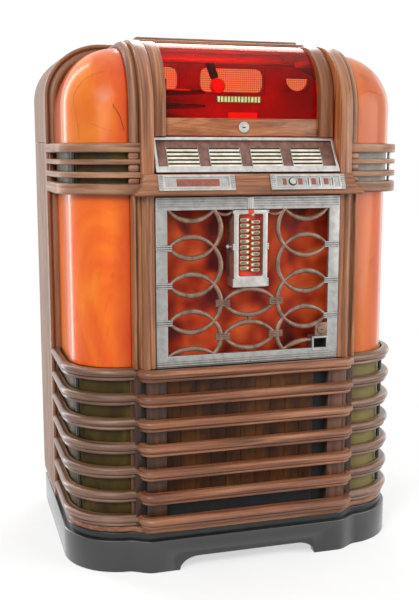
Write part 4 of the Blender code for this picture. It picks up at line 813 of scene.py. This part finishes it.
def dress_stiles():
    heights = (BASE_REST, LOUVRE_TOPS[0] - 0.004)
    for side, sign in SIDES:
        # Painted shade: the left stile takes the dark walnut and the right one the middle walnut.
        stile = WALNUT_MID if sign > 0 else WALNUT_DARK
        # The shade block is a black sheet of painted shade in the gap beside the corner bars.
        for name, near, far, depths, finish in (("stile", 0.2255, 0.278, (-0.002, 0.018), stile),
                                                ("strip", 0.288, 0.3053, (0.0165, 0.0182), WALNUT_DARK),
                                                ("edge", 0.3040, 0.3140, (0.0312, 0.0415), WALNUT_MID),
                                                ("rear_strip", 0.453, 0.463, CORNER_STRIP, WALNUT_DARK),
                                                ("shade", 0.2775, 0.2885, (0.0160, 0.0182), BLACK_AND_PAINTED_SHADE)):
            block(f"louvre_{name}_{side}", on_side(sign, near, far), depths, heights, finish, edge=0.0009)


def peg(name, sign, degrees, low, high, material=SHELLAC):
    """A spacer peg between two corner bars, at an angle from the front."""
    x, depth = corner_point(0.1475, math.radians(degrees))
    ends = [(sign * x, back(depth), height) for height in (low, high)]
    loft(name, rod_rings(*ends, 0.0052), material)


def dress_pegs():
    for index, (low, high) in enumerate(zip(LOUVRE_TOPS[1:], LOUVRE_TOPS), 1):
        peg(f"peg_left_{index}", -1, 58, low + 0.008, high - 0.027)
        peg(f"peg_right_{index}", 1, 42, low + 0.008, high - 0.027)
    for index, (lower, upper) in enumerate(zip(BANDS, BANDS[1:]), 1):
        peg(f"band_peg_left_{index}", -1, 57, lower[1] - 0.004, upper[0] + 0.004)
        # Painted highlight: the right-hand band pegs take bright aluminium for the light glinting on them;
        # the left-hand ones stay black.
        peg(f"band_peg_right_{index}", 1, 68, lower[1] - 0.004, upper[0] + 0.004, BRIGHT)


# Lid
def dress_lid():
    bow = soft_rectangle((0.0, 0.209), (0.030, 0.2465), 0.003)
    path = bent_path(0.046, (0.205, 1.230), 1.386, 1.1385, 0.343)
    pair = both("lid_bow", swept(path, bow, "side"), WALNUT_RUN, LID)
    # Painted shade: the right-hand bow takes the darker walnut copy.
    pair[0].data.materials[0] = WALNUT_PAINTED_SHADE
    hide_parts("lid_frame")
    block("lid_rail", about(0.0, 0.2091), (0.058, 0.078), (1.1388, 1.185), FIGURED, LID, 0.0025)
    block("cap_lower", about(0.0, 0.2420), (0.250, 0.3440), (1.385, 1.398), WALNUT_ACROSS, LID, 0.0055)
    block("cap_upper", about(0.0, 0.2345), (0.290, 0.3437), (1.397, 1.409), WALNUT_ACROSS, LID, 0.0045)
    pane = rectangle((0.0, 0.003), about(0.0, 0.2087))
    sheet = bent_path(0.0725, (0.2225, 1.240), 1.3845, 1.1853, 0.262)
    loft("window_sheet", swept(sheet, pane, "side"), WINDOW, LID, ("lid_window",))


# Title panel and shelf
def dress_titles():
    plane, length = leaning_plane((-0.006, 1.0455), (0.0495, 1.1375))
    wide = about(0.0, 0.2462)
    opening = rectangle(about(0.0, 0.2385), (0.022, length - 0.009))
    plate("title_surround", [rectangle(wide, (0.005, length)), opening], -0.005, 0.0, plane, BRIGHT,
          nodes=("title_frame",), edge=0.0016)
    card = -0.0075
    board = rectangle(wide, (0.010, length - 0.002))
    plate("title_board", [board], card - 0.004, card, plane, CARD, nodes=("title_card",))
    for group in range(1, 5):
        dress_strips(group, plane, card)
    for index in range(4):
        xs = about(-0.0075 + index * 0.005, 0.0019)
        for name, rows in (("foot", (0.006, 0.021)), ("head", (length - 0.0085, length - 0.0005))):
            reed = rectangle(xs, rows)
            plate(f"title_reed_{name}_{index + 1}", [reed], -0.002, 0.0014, plane, BRIGHT, edge=0.0012)


def dress_strips(group, plane, card):
    """One holder on the title card: a black sheet of painted shade behind the strips, five paper strips and
    a rail at each end.
    """
    middle = -0.004 + (group - 2.5) * 0.1114
    well_foot, strip_foot, pitch = 0.0225, 0.0235, 0.0112
    well = rectangle(about(middle, 0.0412), (well_foot, 0.0790))
    plate(f"title_shade_sheet_{group}", [well], card - 0.0003, card + 0.0004, plane, BLACK_AND_PAINTED_SHADE, edge=0.0001)
    for row in range(5):
        foot = strip_foot + row * pitch
        strip = rectangle(about(middle, 0.0407), (foot, foot + 0.0058))
        name = f"title_strip_{group}_{row + 1}"
        plate(name, [strip], card - 0.0005, card + 0.0018, plane, STRIP, edge=0.0004)
    for side, sign in SIDES[::-1]:
        rail = rectangle(about(middle + sign * 0.0415, 0.0010), (well_foot, strip_foot + 5 * pitch))
        plate(f"title_rail_{group}_{side}", [rail], card, card + 0.0022, plane, STEEL, edge=0.0004)


def shelf_ring(height, half, front, radius=0.008):
    """Plan of the shelf at one height, with round front corners."""
    corner = arc((half - radius, front + radius), radius, 0, -90, 6)
    return raised(mirrored(np.vstack([[(half, 0.0022)], corner])), height)


def dress_shelf():
    rings = []
    for share in np.linspace(0.0, 1.0, 12):
        flare = 0.020 * (1.0 - share) ** 2.4
        rings.append(shelf_ring(1.0005 + 0.0425 * share, 0.2830 + flare, -0.026 + 0.0185 * share))
    rings += [shelf_ring(1.0442, 0.2818, -0.0062), shelf_ring(SHELF_TOP, 0.2790, -0.0035)]
    loft("shelf_body", rings, WALNUT_ACROSS, nodes=("control_shelf",), sharp=50)
    lip = ((SHELF_BOTTOM, 0.3035, -0.0265), (0.9925, 0.3060, -0.0290), (0.9955, 0.307, -0.030),
           (0.9975, 0.307, -0.030), (1.0000, 0.3055, -0.0285), (1.0010, 0.3030, -0.0262))
    loft("shelf_lip", [shelf_ring(*stop, 0.010) for stop in lip], WALNUT_ACROSS, sharp=50)


# Plates on the shelf's leaning face
PLATE_PLANE, PLATE_LENGTH = leaning_plane((-0.026, 1.001), (-0.007, SHELF_TOP))
PLATE_SEAT = 0.0028


def plate_part(name, outlines, rise, material, edge=0.0004):
    """A thin part seated in one of the plates and standing up to a rise."""
    plate(name, outlines, PLATE_SEAT, rise, PLATE_PLANE, material, edge=edge)


def dress_plate(side, left, right):
    low, high = 0.003, PLATE_LENGTH - 0.003
    bed_rise = 0.0036
    plate("plate_base_" + side, [rectangle((left, right), (low, high))], GAP, 0.0033, PLATE_PLANE, BRIGHT,
          nodes=("plate_" + side,), edge=0.0012)
    rim = rectangle((left + 0.0125, right - 0.0125), (low + 0.0050, high - 0.0035))
    inner = rectangle((left + 0.0165, right - 0.0165), (low + 0.0085, high - 0.0070))
    plate_part("plate_rim_" + side, [rim, inner], 0.0056, BRIGHT, 0.0008)
    plate_part("plate_panel_" + side, [inner], bed_rise, ALUMINIUM, 0.0001)
    # Painted shade: the beds under the ridges take the darker steel, for the shade between the ridges.
    for end, bed, x in (("inner", left + 0.0008, left + 0.0055), ("outer", right - 0.0108, right - 0.0055)):
        outline = rectangle((bed, bed + 0.0100), (low + 0.001, high - 0.001))
        plate_part(f"plate_bed_{side}_{end}", [outline], bed_rise, STEEL, 0.0002)
        for index in range(7):
            row = low + 0.0035 + index * (high - low - 0.007) / 6
            ends = [PLATE_PLANE @ Vector((place, row, bed_rise)) for place in about(x, 0.0056)]
            loft(f"plate_ridge_{side}_{end}_{index + 1}", rod_rings(*ends, 0.0019, 8), BRIGHT)


def dress_plates():
    dress_plate("left", -0.2460, -0.0475)
    dress_plate("right", 0.0475, 0.2530)
    middle, label_rise = PLATE_LENGTH / 2, 0.0042
    left_label = rectangle((-0.2000, -0.0890), (middle - 0.0105, middle + 0.0085))
    plate_part("label_left", [left_label], label_rise, LABEL)
    labels = ((0.0800, 0.0905), (0.1220, 0.1340), (0.1585, 0.1715), (0.1935, 0.2065))
    for index, xs in enumerate(labels, 1):
        plate_part(f"label_right_{index}", [rectangle(xs, about(middle, 0.0085))], label_rise, LABEL)
    # Painted shade: each coin slot is a black strip for the shade inside the slot.
    for index, x in enumerate((0.150, 0.181, 0.217), 1):
        for name, wide, tall, finish, rise in (("ground", 0.0066, 0.0150, STEEL, 0.0040),
                                               ("bezel", 0.0050, 0.0135, BRIGHT, 0.0046),
                                               ("slot", 0.0014, 0.011, BLACK_AND_PAINTED_SHADE, 0.0048)):
            outline = rectangle(about(x, wide), about(middle, tall))
            plate_part(f"coin_{name}_{index}", [outline], rise, finish)
    reject_x = 0.107
    # Painted shadow: a black ring round the reject button's cap.
    plate_part("reject_shadow_ring", [circle((reject_x, middle), 0.0112, 24)], label_rise, BLACK_AND_PAINTED_SHADE, 0.0002)
    profile = [(0.0, -0.009), (0.0074, -0.009), (0.0074, 0.0048), (0.0086, 0.0056), (0.0086, 0.0074),
               (0.0070, 0.0088), (0.0, 0.0092)]
    place = PLATE_PLANE @ Matrix.Translation((reject_x, middle, 0.0))
    turned("reject_cap", profile, place, BRIGHT, "reject_button", ("reject_button",))


# Grille door
def bulged_arc(start, end, bulge):
    """Points on a circular arc between two points that bulges to the left of their line."""
    start, end = np.array(start), np.array(end)
    half = np.linalg.norm(end - start) / 2
    radius = (half * half + bulge * bulge) / (2 * abs(bulge))
    along = (end - start) / (2 * half)
    left = np.array((-along[1], along[0])) * math.copysign(1.0, bulge)
    centre = (start + end) / 2 - left * (radius - abs(bulge))
    angles = np.linspace(-1, 1, 27)[:, None] * math.asin(half / radius)
    return centre + left * radius * np.cos(angles) + along * radius * np.sin(angles)


def ring_bar(name, start, end, bulge, thin=0.0036, full=0.0072):
    """A cast bar of the lattice, fuller in its middle than at its ends."""
    path = bulged_arc(start, end, bulge) + (0.0, GRILLE_BOTTOM)
    turn = circle((0.0, 0.0), 1.0, 14)
    rings = swept(path, turn * (1.0, 0.0), "front")
    share = np.sin(np.linspace(0, math.pi, len(path)))[:, None]
    width = thin + (full - thin) * share
    half_depth = 0.0045 + 0.0030 * share
    for axis, heart in ((0, path[:, :1]), (2, path[:, 1:])):
        rings[..., axis] = heart + (rings[..., axis] - heart) * width
    rings[..., 1] = back(0.0060 + turn[:, 1] * half_depth)
    loft(name, rings, BRONZE, DOOR)


def door_ridges(name, xs, heights, material=ALUMINIUM, radius=0.0026, depth=0.0):
    """Level half-round ridges cast on the door's face."""
    for index, height in enumerate(heights, 1):
        ends = [(x, back(depth), up(height)) for x in xs]
        loft(f"{name}_{index}", rod_rings(*ends, radius, 10), material, DOOR)


def lens(name, xs, height, rise):
    """A lens-shaped ring of two bowed bars."""
    for bow, bulge in (("upper", rise), ("lower", -rise)):
        ring_bar(f"{name}_{bow}", (xs[0], height), (xs[1], height), bulge)


def lattice_side(side, sign):
    rise = 0.0275
    left, right = about(sign * 0.156, 0.0595)
    for index, height in enumerate(SIDE_RINGS, 1):
        lens(f"ring_{side}_{index}", (left, right), height, rise)
        ridges = (height - 0.0056, height, height + 0.0056)
        door_ridges(f"boss_{side}_{index}", on_side(sign, 0.2075, 0.2480), ridges)
    ring_bar(f"ring_{side}_top", (left, OPENING_HEAD), (right, OPENING_HEAD), -rise)
    x = sign * 0.0965
    stops = [OPENING_HEAD, *SIDE_RINGS, OPENING_FOOT]
    for index, (upper, lower) in enumerate(zip(stops, stops[1:]), 1):
        ring_bar(f"bow_{side}_{index}", (x, upper), (x, lower), -sign * 0.019, 0.0054, 0.0068)
    xs = on_side(sign, 0.054, 0.092)
    for index, height in enumerate(CENTRE_RINGS, 1):
        block(f"clamp_{side}_{index}", xs, (0.0005, 0.010), about(up(height), 0.0092), BRONZE, DOOR)
        ridges = [height + step * 0.0046 for step in (-1.5, -0.5, 0.5, 1.5)]
        door_ridges(f"clamp_ridge_{side}_{index}", xs, ridges, BRONZE, 0.0021, 0.0004)
    left, right = on_side(sign, 0.050, 0.085)
    ring_bar("hook_" + side, (left, 0.397), (right, 0.397), -0.006, 0.0030, 0.0045)


def dress_grille():
    outer = rectangle(about(0.0, 0.2495), (up(GAP), GRILLE_TOP))
    opening = rectangle(about(0.0, 0.2195), (up(OPENING_FOOT), up(OPENING_HEAD)))
    front_plate("grille_surround", [outer, opening], 0.0, 0.012, ALUMINIUM, DOOR, ("grille_door",), 0.0014)
    flute_end, top_flutes, foot_flutes = 0.2470, (0.413, 0.4190, 0.425, 0.4310), (0.006, 0.0120, 0.018)
    for side, sign in SIDES[::-1]:
        lattice_side(side, sign)
        door_ridges("top_flute_" + side, on_side(sign, 0.010, flute_end), top_flutes, radius=0.0018)
        door_ridges("foot_flute_" + side, on_side(sign, 0.002, flute_end), foot_flutes, radius=0.0020)
    ring_bar("ring_left_foot", (-0.2155, OPENING_FOOT), (-0.0965, OPENING_FOOT), 0.0165)
    ring_bar("ring_right_foot", (0.0965, OPENING_FOOT), (0.179, 0.052), 0.008)
    for index, height in enumerate(CENTRE_RINGS, 1):
        lens(f"ring_centre_{index}", about(0.0, 0.072), height, 0.0345)
    block("ring_link", about(0.0, 0.0045), (0.0005, 0.011), (up(0.1095), up(0.1300)), BRONZE, DOOR)
    for index, x in enumerate((-0.005, 0.0, 0.005), 1):
        ends = [(x, FACE_Y, height) for height in (up(0.405), GRILLE_TOP - 0.001)]
        loft(f"centre_key_{index}", rod_rings(*ends, 0.0024, 10), BRIGHT, DOOR)
    sheet = rectangle(about(0.0, 0.2500), (up(GAP), SHELF_BOTTOM - GAP))
    front_plate("backing_sheet", [sheet], 0.062, 0.065, BACKING, nodes=("grille_backing",), edge=0.0)


def dress_coin_return():
    low, high = up(0.022), up(0.062)
    outer = rectangle((0.176, 0.2225), (low, high))
    opening = rectangle((0.1815, 0.2170), (low + 0.0055, high - 0.0055))
    front_plate("return_rim", [outer, opening], -0.0015, 0.034, ALUMINIUM, DOOR, edge=0.0014)
    # Painted shade: the well's back and the throat's lining are black sheets for the shade inside the coin
    # return.
    front_plate("return_well", [outer], 0.0285, 0.034, BLACK_AND_PAINTED_SHADE, DOOR)
    throat = rectangle((0.1827, 0.2158), (low + 0.0067, high - 0.0067))
    front_plate("return_throat", [opening, throat], 0.0004, 0.0290, BLACK_AND_PAINTED_SHADE, DOOR, edge=0.0002)
    pad = rectangle((0.1855, 0.2225), (high - 0.002, up(0.0985)))
    front_plate("lock_pad", [pad], 0.001, 0.011, BRONZE, DOOR, edge=0.0016)


def dress_lock(name, x, depth, height, rim, material):
    """A round lock face with a raised rim and a key slot."""
    profile = [(0.0, -0.018), (0.0084, -0.018), (0.0084, 0.0004), (rim, 0.0004), (rim, 0.0026),
               (rim - 0.0014, 0.0038), (rim - 0.0038, 0.0038), (rim - 0.0044, 0.0030), (0.0, 0.0033)]
    turned(name + "_face", profile, tilted((x, back(depth), height), 90, "X"), material, name, (name,))
    # Painted shade: the key slot is a black block for the shade in the slot.
    block(name + "_slot", about(x, 0.3 * rim), (depth - 0.0036, depth - 0.0030), about(height, 0.11 * rim),
          BLACK_AND_PAINTED_SHADE, name, 0.0002)


# Selector and its buttons
def pill(x, z, length, width):
    radius = width / 2
    reach = length / 2 - radius
    return np.vstack([arc((x + reach, z), radius, -90, 90, 10),
                      arc((x - reach, z), radius, 90, 270, 10)])


def dress_cheek(side, sign):
    """One flank of the selector: two plain cheeks between three bands of ridges."""
    xs = on_side(sign, 0.0448, 0.0459)
    # Painted shade: the cheeks take the darkened taupe.
    for index, (low, high) in enumerate(((0.2265, 0.2995), (0.3175, 0.3930)), 1):
        heights = (up(low), up(high))
        block(f"selector_cheek_{side}_{index}", xs, (-0.001, 0.0605), heights, TAUPE, DOOR, 0.0003)
    xs = on_side(sign, 0.0440, 0.0492)
    for band, (low, high) in enumerate(((0.2040, 0.2260), (0.3000, 0.3170), (0.3935, 0.4025)), 1):
        count = round((high - low) / 0.0056)
        pitch = (high - low) / count
        for index in range(count):
            heights = about(up(low) + (index + 0.5) * pitch, pitch / 2)
            name = f"selector_ridge_{side}_{band}_{index + 1}"
            block(name, xs, (-0.0072, 0.042), heights, BRIGHT, DOOR, 0.0018)


def dress_selector():
    low, high = up(0.2035), up(0.4030)
    outer = soft_rectangle((-0.0455, low), (0.0455, high), 0.004)
    pocket = soft_rectangle((-0.033, up(0.232)), (0.033, up(0.392)), 0.005)
    front_plate("selector_case", [outer, pocket], -0.006, 0.060, BRIGHT, DOOR, ("selector_housing",), 0.0014)
    front_plate("selector_floor", [outer], 0.012, 0.043, SELECTOR_RED, DOOR)
    for side, sign in SIDES[::-1]:
        dress_cheek(side, sign)
    knob = [(0.0, 0.0), (0.0030, 0.0), (0.0030, 0.005), (0.0062, 0.007), (0.0062, 0.011), (0.0040, 0.0135),
            (0.0, 0.0140)]
    turned("selector_knob", knob, tilted((-0.0485, back(0.012), up(0.3085)), -90, "Y"), BRIGHT, DOOR)
    notch = rectangle(about(0.0, 0.0075), (high - 0.0125, high + 0.0005))
    front_plate("selector_notch", [notch], -0.0070, -0.0030, SELECTOR_RED, DOOR)
    screw = [(0.0, 0.0), (0.0055, 0.0), (0.0055, 0.0020), (0.0038, 0.0042), (0.0, 0.0050)]
    turned("selector_screw", screw, tilted((0.0035, back(-0.005), high - 0.012), 90, "X"), BRASS, DOOR)


def dress_buttons():
    for column, sign, top in (("a", -1, up(0.3768)), ("b", 1, up(0.3713))):
        for row in range(10):
            name = f"button_{column}{row + 1:02d}"
            x, z = sign * 0.0148, top - row * 0.01384
            rim = pill(x, z, 0.0260, 0.0100)
            front_plate(name + "_rim", [rim], 0.0015, 0.0235, BRASS, name, (name,), 0.0012)
            face = pill(x + sign * 0.0030, z, 0.0135, 0.0056)
            front_plate(name + "_label", [face], 0.0008, 0.0018, SMOKED, name, edge=0.0002)
            dot = circle((x - sign * 0.0082, z), 0.0023, 12)
            front_plate(name + "_dot", [dot], 0.0006, 0.0018, IVORY, name, edge=0.0003)


# Inside
def dress_inside():
    carried = {
        "speaker_baffle": BOARD, "speaker": PAPER, "mechanism_deck": LINED, "amplifier": STEEL,
        "drive_motor": STEEL, "coin_mechanism": STEEL, "rear_door": LINED, "tone_arm": STEEL,
    }
    for name, material in carried.items():
        node = frame["nodes"][name]
        node.data.materials.clear()
        node.data.materials.append(material)
    slat_top = 0.5485
    for index in range(10):
        left = -0.2255 + index * 0.0415
        slat = rectangle((left, left + 0.0410), (0.1900, slat_top))
        front_plate(f"baffle_slat_{index + 1}", [slat], 0.0150, 0.0182, SLAT, edge=0.0010)
    # Painted shade: black sheets where the baffle meets the dark inside, beside the slats at the right and
    # below them.
    for name, xs, top in (("right", (0.1895, 0.2255), slat_top), ("foot", (-0.2255, 0.1890), 0.1895)):
        shade = rectangle(xs, (BASE_REST, top))
        front_plate("baffle_shade_" + name, [shade], 0.0160, 0.0181, BLACK_AND_PAINTED_SHADE)


def dress_vents():
    for side, sign in SIDES[::-1]:
        for name, near, far, heights in (("vent_cloth_", 0.031, 0.251, (1.280, 1.368)),
                                         ("low_vent_cloth_", 0.031, 0.251, (0.232, 0.338)),
                                         ("side_vent_cloth_", 0.318, 0.404, (1.292, 1.3375))):
            cloth = rectangle(on_side(sign, near, far), heights)
            front_plate(name + side, [cloth], 0.6006, 0.6016, VENT, "rear_door", edge=0.0)


def dress_records():
    """Platter and stacked records, turned finer than the solids."""
    seat, edge, spindle = 1.0703, 0.127, 0.012
    platter = [(0.0, -0.030), (0.010, -0.030), (0.010, 0.0), (0.030, 0.0), (0.032, 0.022), (edge, 0.028),
               (edge, 0.034), (0.123, 0.038), (0.004, 0.038), (0.004, 0.070), (0.0, 0.072)]
    place = Matrix.Translation((0.125, back(0.300), seat))
    turned("platter", platter, place, STEEL, "turntable", ("turntable",), 64)
    stack = [(0.0, 0.0), (0.080, 0.0), (0.080, 0.012), (0.030, 0.015)]
    for low in 0.040 * np.arange(1, 6):
        stack += [(spindle, low - 0.002), (edge, low), (edge, low + 0.004), (spindle, low + 0.006)]
    stack += [(spindle, 0.240), (0.0, 0.245)]
    place = Matrix.Translation((-0.125, back(0.440), seat))
    turned("record_stack", stack, place, SHELLAC, HOUSE, ("record_magazine",), 64)


def dress_behind_window():
    """Lamp that hangs from the roof and a red bar, behind the window, with number tabs on its face."""
    top, neck = Vector((0.0165, back(0.450), 1.3743)), Vector((0.0385, back(0.450), 1.3160))
    loft("lamp_socket", rod_rings(top, neck, 0.0125), BLACK_AND_PAINTED_SHADE)
    globe = arc((0.0, 0.0235), 0.023, -50, 90, 11)
    place = (neck - top).to_track_quat("Z", "Y").to_matrix().to_4x4()
    place.translation = neck
    turned("lamp_bulb", [(0.0, 0.0), (0.0110, 0.0), (0.0120, 0.004), *globe], place, SELECTOR_RED)
    block("red_bar", (0.080, 0.171), (0.444, 0.456), (1.199, 1.2165), SELECTOR_RED)
    block("red_bar_foot", (0.118, 0.133), (0.446, 0.454), (1.0705, 1.200), BLACK_AND_PAINTED_SHADE)
    block("number_rail", (-0.070, 0.052), (0.0721, 0.0728), (1.2255, 1.2415), BLACK_AND_PAINTED_SHADE, LID, 0.0002)
    for index in range(13):
        xs = about(-0.0635 + index * 0.0091, 0.0032)
        block(f"number_tab_{index + 1}", xs, (0.0717, 0.0724), (1.2265, 1.2405), TAB, LID, 0.0002)


# Stage, light and camera
def aim(thing, place, direction):
    """Put a lamp or the camera in its place, looking along a direction."""
    thing.location = place
    thing.rotation_euler = Vector(direction).to_track_quat("-Z", "Y").to_euler()


def lamp(name, place, target, size, power, shape="ELLIPSE", colour=(1.0, 1.0, 1.0)):
    data = bpy.data.lights.new(name, "AREA")
    data.shape = shape
    data.size, data.size_y = size
    data.energy = power
    data.color = colour
    aim(linked(name, data), place, Vector(target) - Vector(place))


def light_scene():
    for index, (size, power) in enumerate(((2.7, 28.0), (1.9, 29.0), (1.0, 34.0)), 1):
        lamp(f"front_left_{index}", (-1.9, -2.6, 2.3), (0, 0, 0.7), (size, size), power)
    for index, (size, power) in enumerate((((3.2, 2.6), 39.0), ((1.8, 2.0), 36.0)), 1):
        lamp(f"front_right_{index}", (2.5, -2.0, 1.45), (0, 0, 0.7), size, power)
    lamp("overhead", (0.0, -0.6, 2.9), (0, 0, 0.8), (3.2, 2.2), 10.0, "RECTANGLE")
    lamp("roof_back", (0.72, 2.0, 2.6), (0.1, -0.1, 1.35), (1.2, 1.7), 28.0, "RECTANGLE")
    lamp("left_strip", (-2.0, 1.8, 1.7), (-0.35, -0.1, 1.1), (0.50, 4.6), 44.0, "RECTANGLE")
    lamp("right_strip", (2.4, 1.2, 1.1), (0.35, -0.1, 0.9), (0.6, 2.6), 5.0, "RECTANGLE")
    lamp("inside_glow", (0.0, back(0.200), 1.300), (0.0, back(0.600), 1.140), (0.36, 0.04), 1.6, "RECTANGLE",
         (1.0, 0.06, 0.05))


def set_surround():
    """A surround seen as white, but lighting the object as a dim room that is lighter behind."""
    world = bpy.data.worlds.new("studio")
    bpy.context.scene.world = world
    world.use_nodes = True
    nodes, links = world.node_tree.nodes, world.node_tree.links
    path = nodes.new("ShaderNodeLightPath")
    seen = path.outputs["Is Camera Ray"]
    for kind in ("Is Glossy Ray", "Is Transmission Ray"):
        join = nodes.new("ShaderNodeMath")
        join.operation = "MAXIMUM"
        links.new(seen, join.inputs[0])
        links.new(path.outputs[kind], join.inputs[1])
        seen = join.outputs[0]
    facing = nodes.new("ShaderNodeSeparateXYZ")
    links.new(nodes.new("ShaderNodeTexCoord").outputs["Generated"], facing.inputs["Vector"])
    room = nodes.new("ShaderNodeMapRange")
    for key, value in (("From Min", -0.35), ("From Max", 0.55), ("To Min", 0.24), ("To Max", 0.60)):
        room.inputs[key].default_value = value
    links.new(facing.outputs["Y"], room.inputs["Value"])
    level = nodes.new("ShaderNodeMapRange")
    links.new(seen, level.inputs["Value"])
    links.new(room.outputs["Result"], level.inputs["To Min"])
    links.new(level.outputs["Result"], nodes["Background"].inputs["Strength"])
    nodes["Background"].inputs["Color"].default_value = WHITE


def floor_paint():
    """Pale floor that fades into the white surround."""
    made = Finish("pale_floor", roughness=0.9, specular_ior_level=0.1)
    mottle = made.noise(made.coords(), 3.0, 3.0)
    made.set("Base Color", made.ramp(mottle, (0.3, "F4F4F3"), (0.7, "FAFAFA")))
    away = made.node("VectorMath", {0: made.coords()}, operation="LENGTH").outputs["Value"]
    made.set("Alpha", made.spread(away, 0.42, 0.0, 0.40, 1.3, "SMOOTHSTEP"))
    return made.made


def set_stage():
    sides = 64
    mesh = bpy.data.meshes.new("floor")
    mesh.from_pydata([(x, y, 0.0) for x, y in circle((0.0, 0.0), 2.0, sides)], [], [tuple(range(sides))])
    mesh.materials.append(floor_paint())
    floor = linked("floor", mesh)


def set_camera():
    data = bpy.data.cameras.new("camera")
    data.lens = 55.278
    data.sensor_width = 36.0
    camera = linked("camera", data)
    turn, tilt = math.radians(16.3), math.radians(9.05)
    forward = (math.sin(turn) * math.cos(tilt), math.cos(turn) * math.cos(tilt), -math.sin(tilt))
    aim(camera, (-0.766, -2.540, 1.096), forward)
    bpy.context.scene.camera = camera


dress_foot()
dress_shell()
dress_posts()
dress_domes()
dress_cracks()
dress_columns()
dress_bands()
dress_louvres()
dress_stiles()
dress_pegs()
dress_lid()
dress_titles()
dress_shelf()
dress_plates()
dress_grille()
dress_coin_return()
dress_lock("grille_lock", 0.204, 0.001, up(0.080), 0.0124, BRONZE)
dress_lock("lid_lock", 0.0, 0.058, 1.162, 0.0145, BRIGHT)
dress_selector()
dress_buttons()
dress_inside()
dress_vents()
dress_records()
dress_behind_window()
set_stage()
light_scene()
set_surround()
set_camera()
bpy.context.scene.view_settings.view_transform = "Standard"
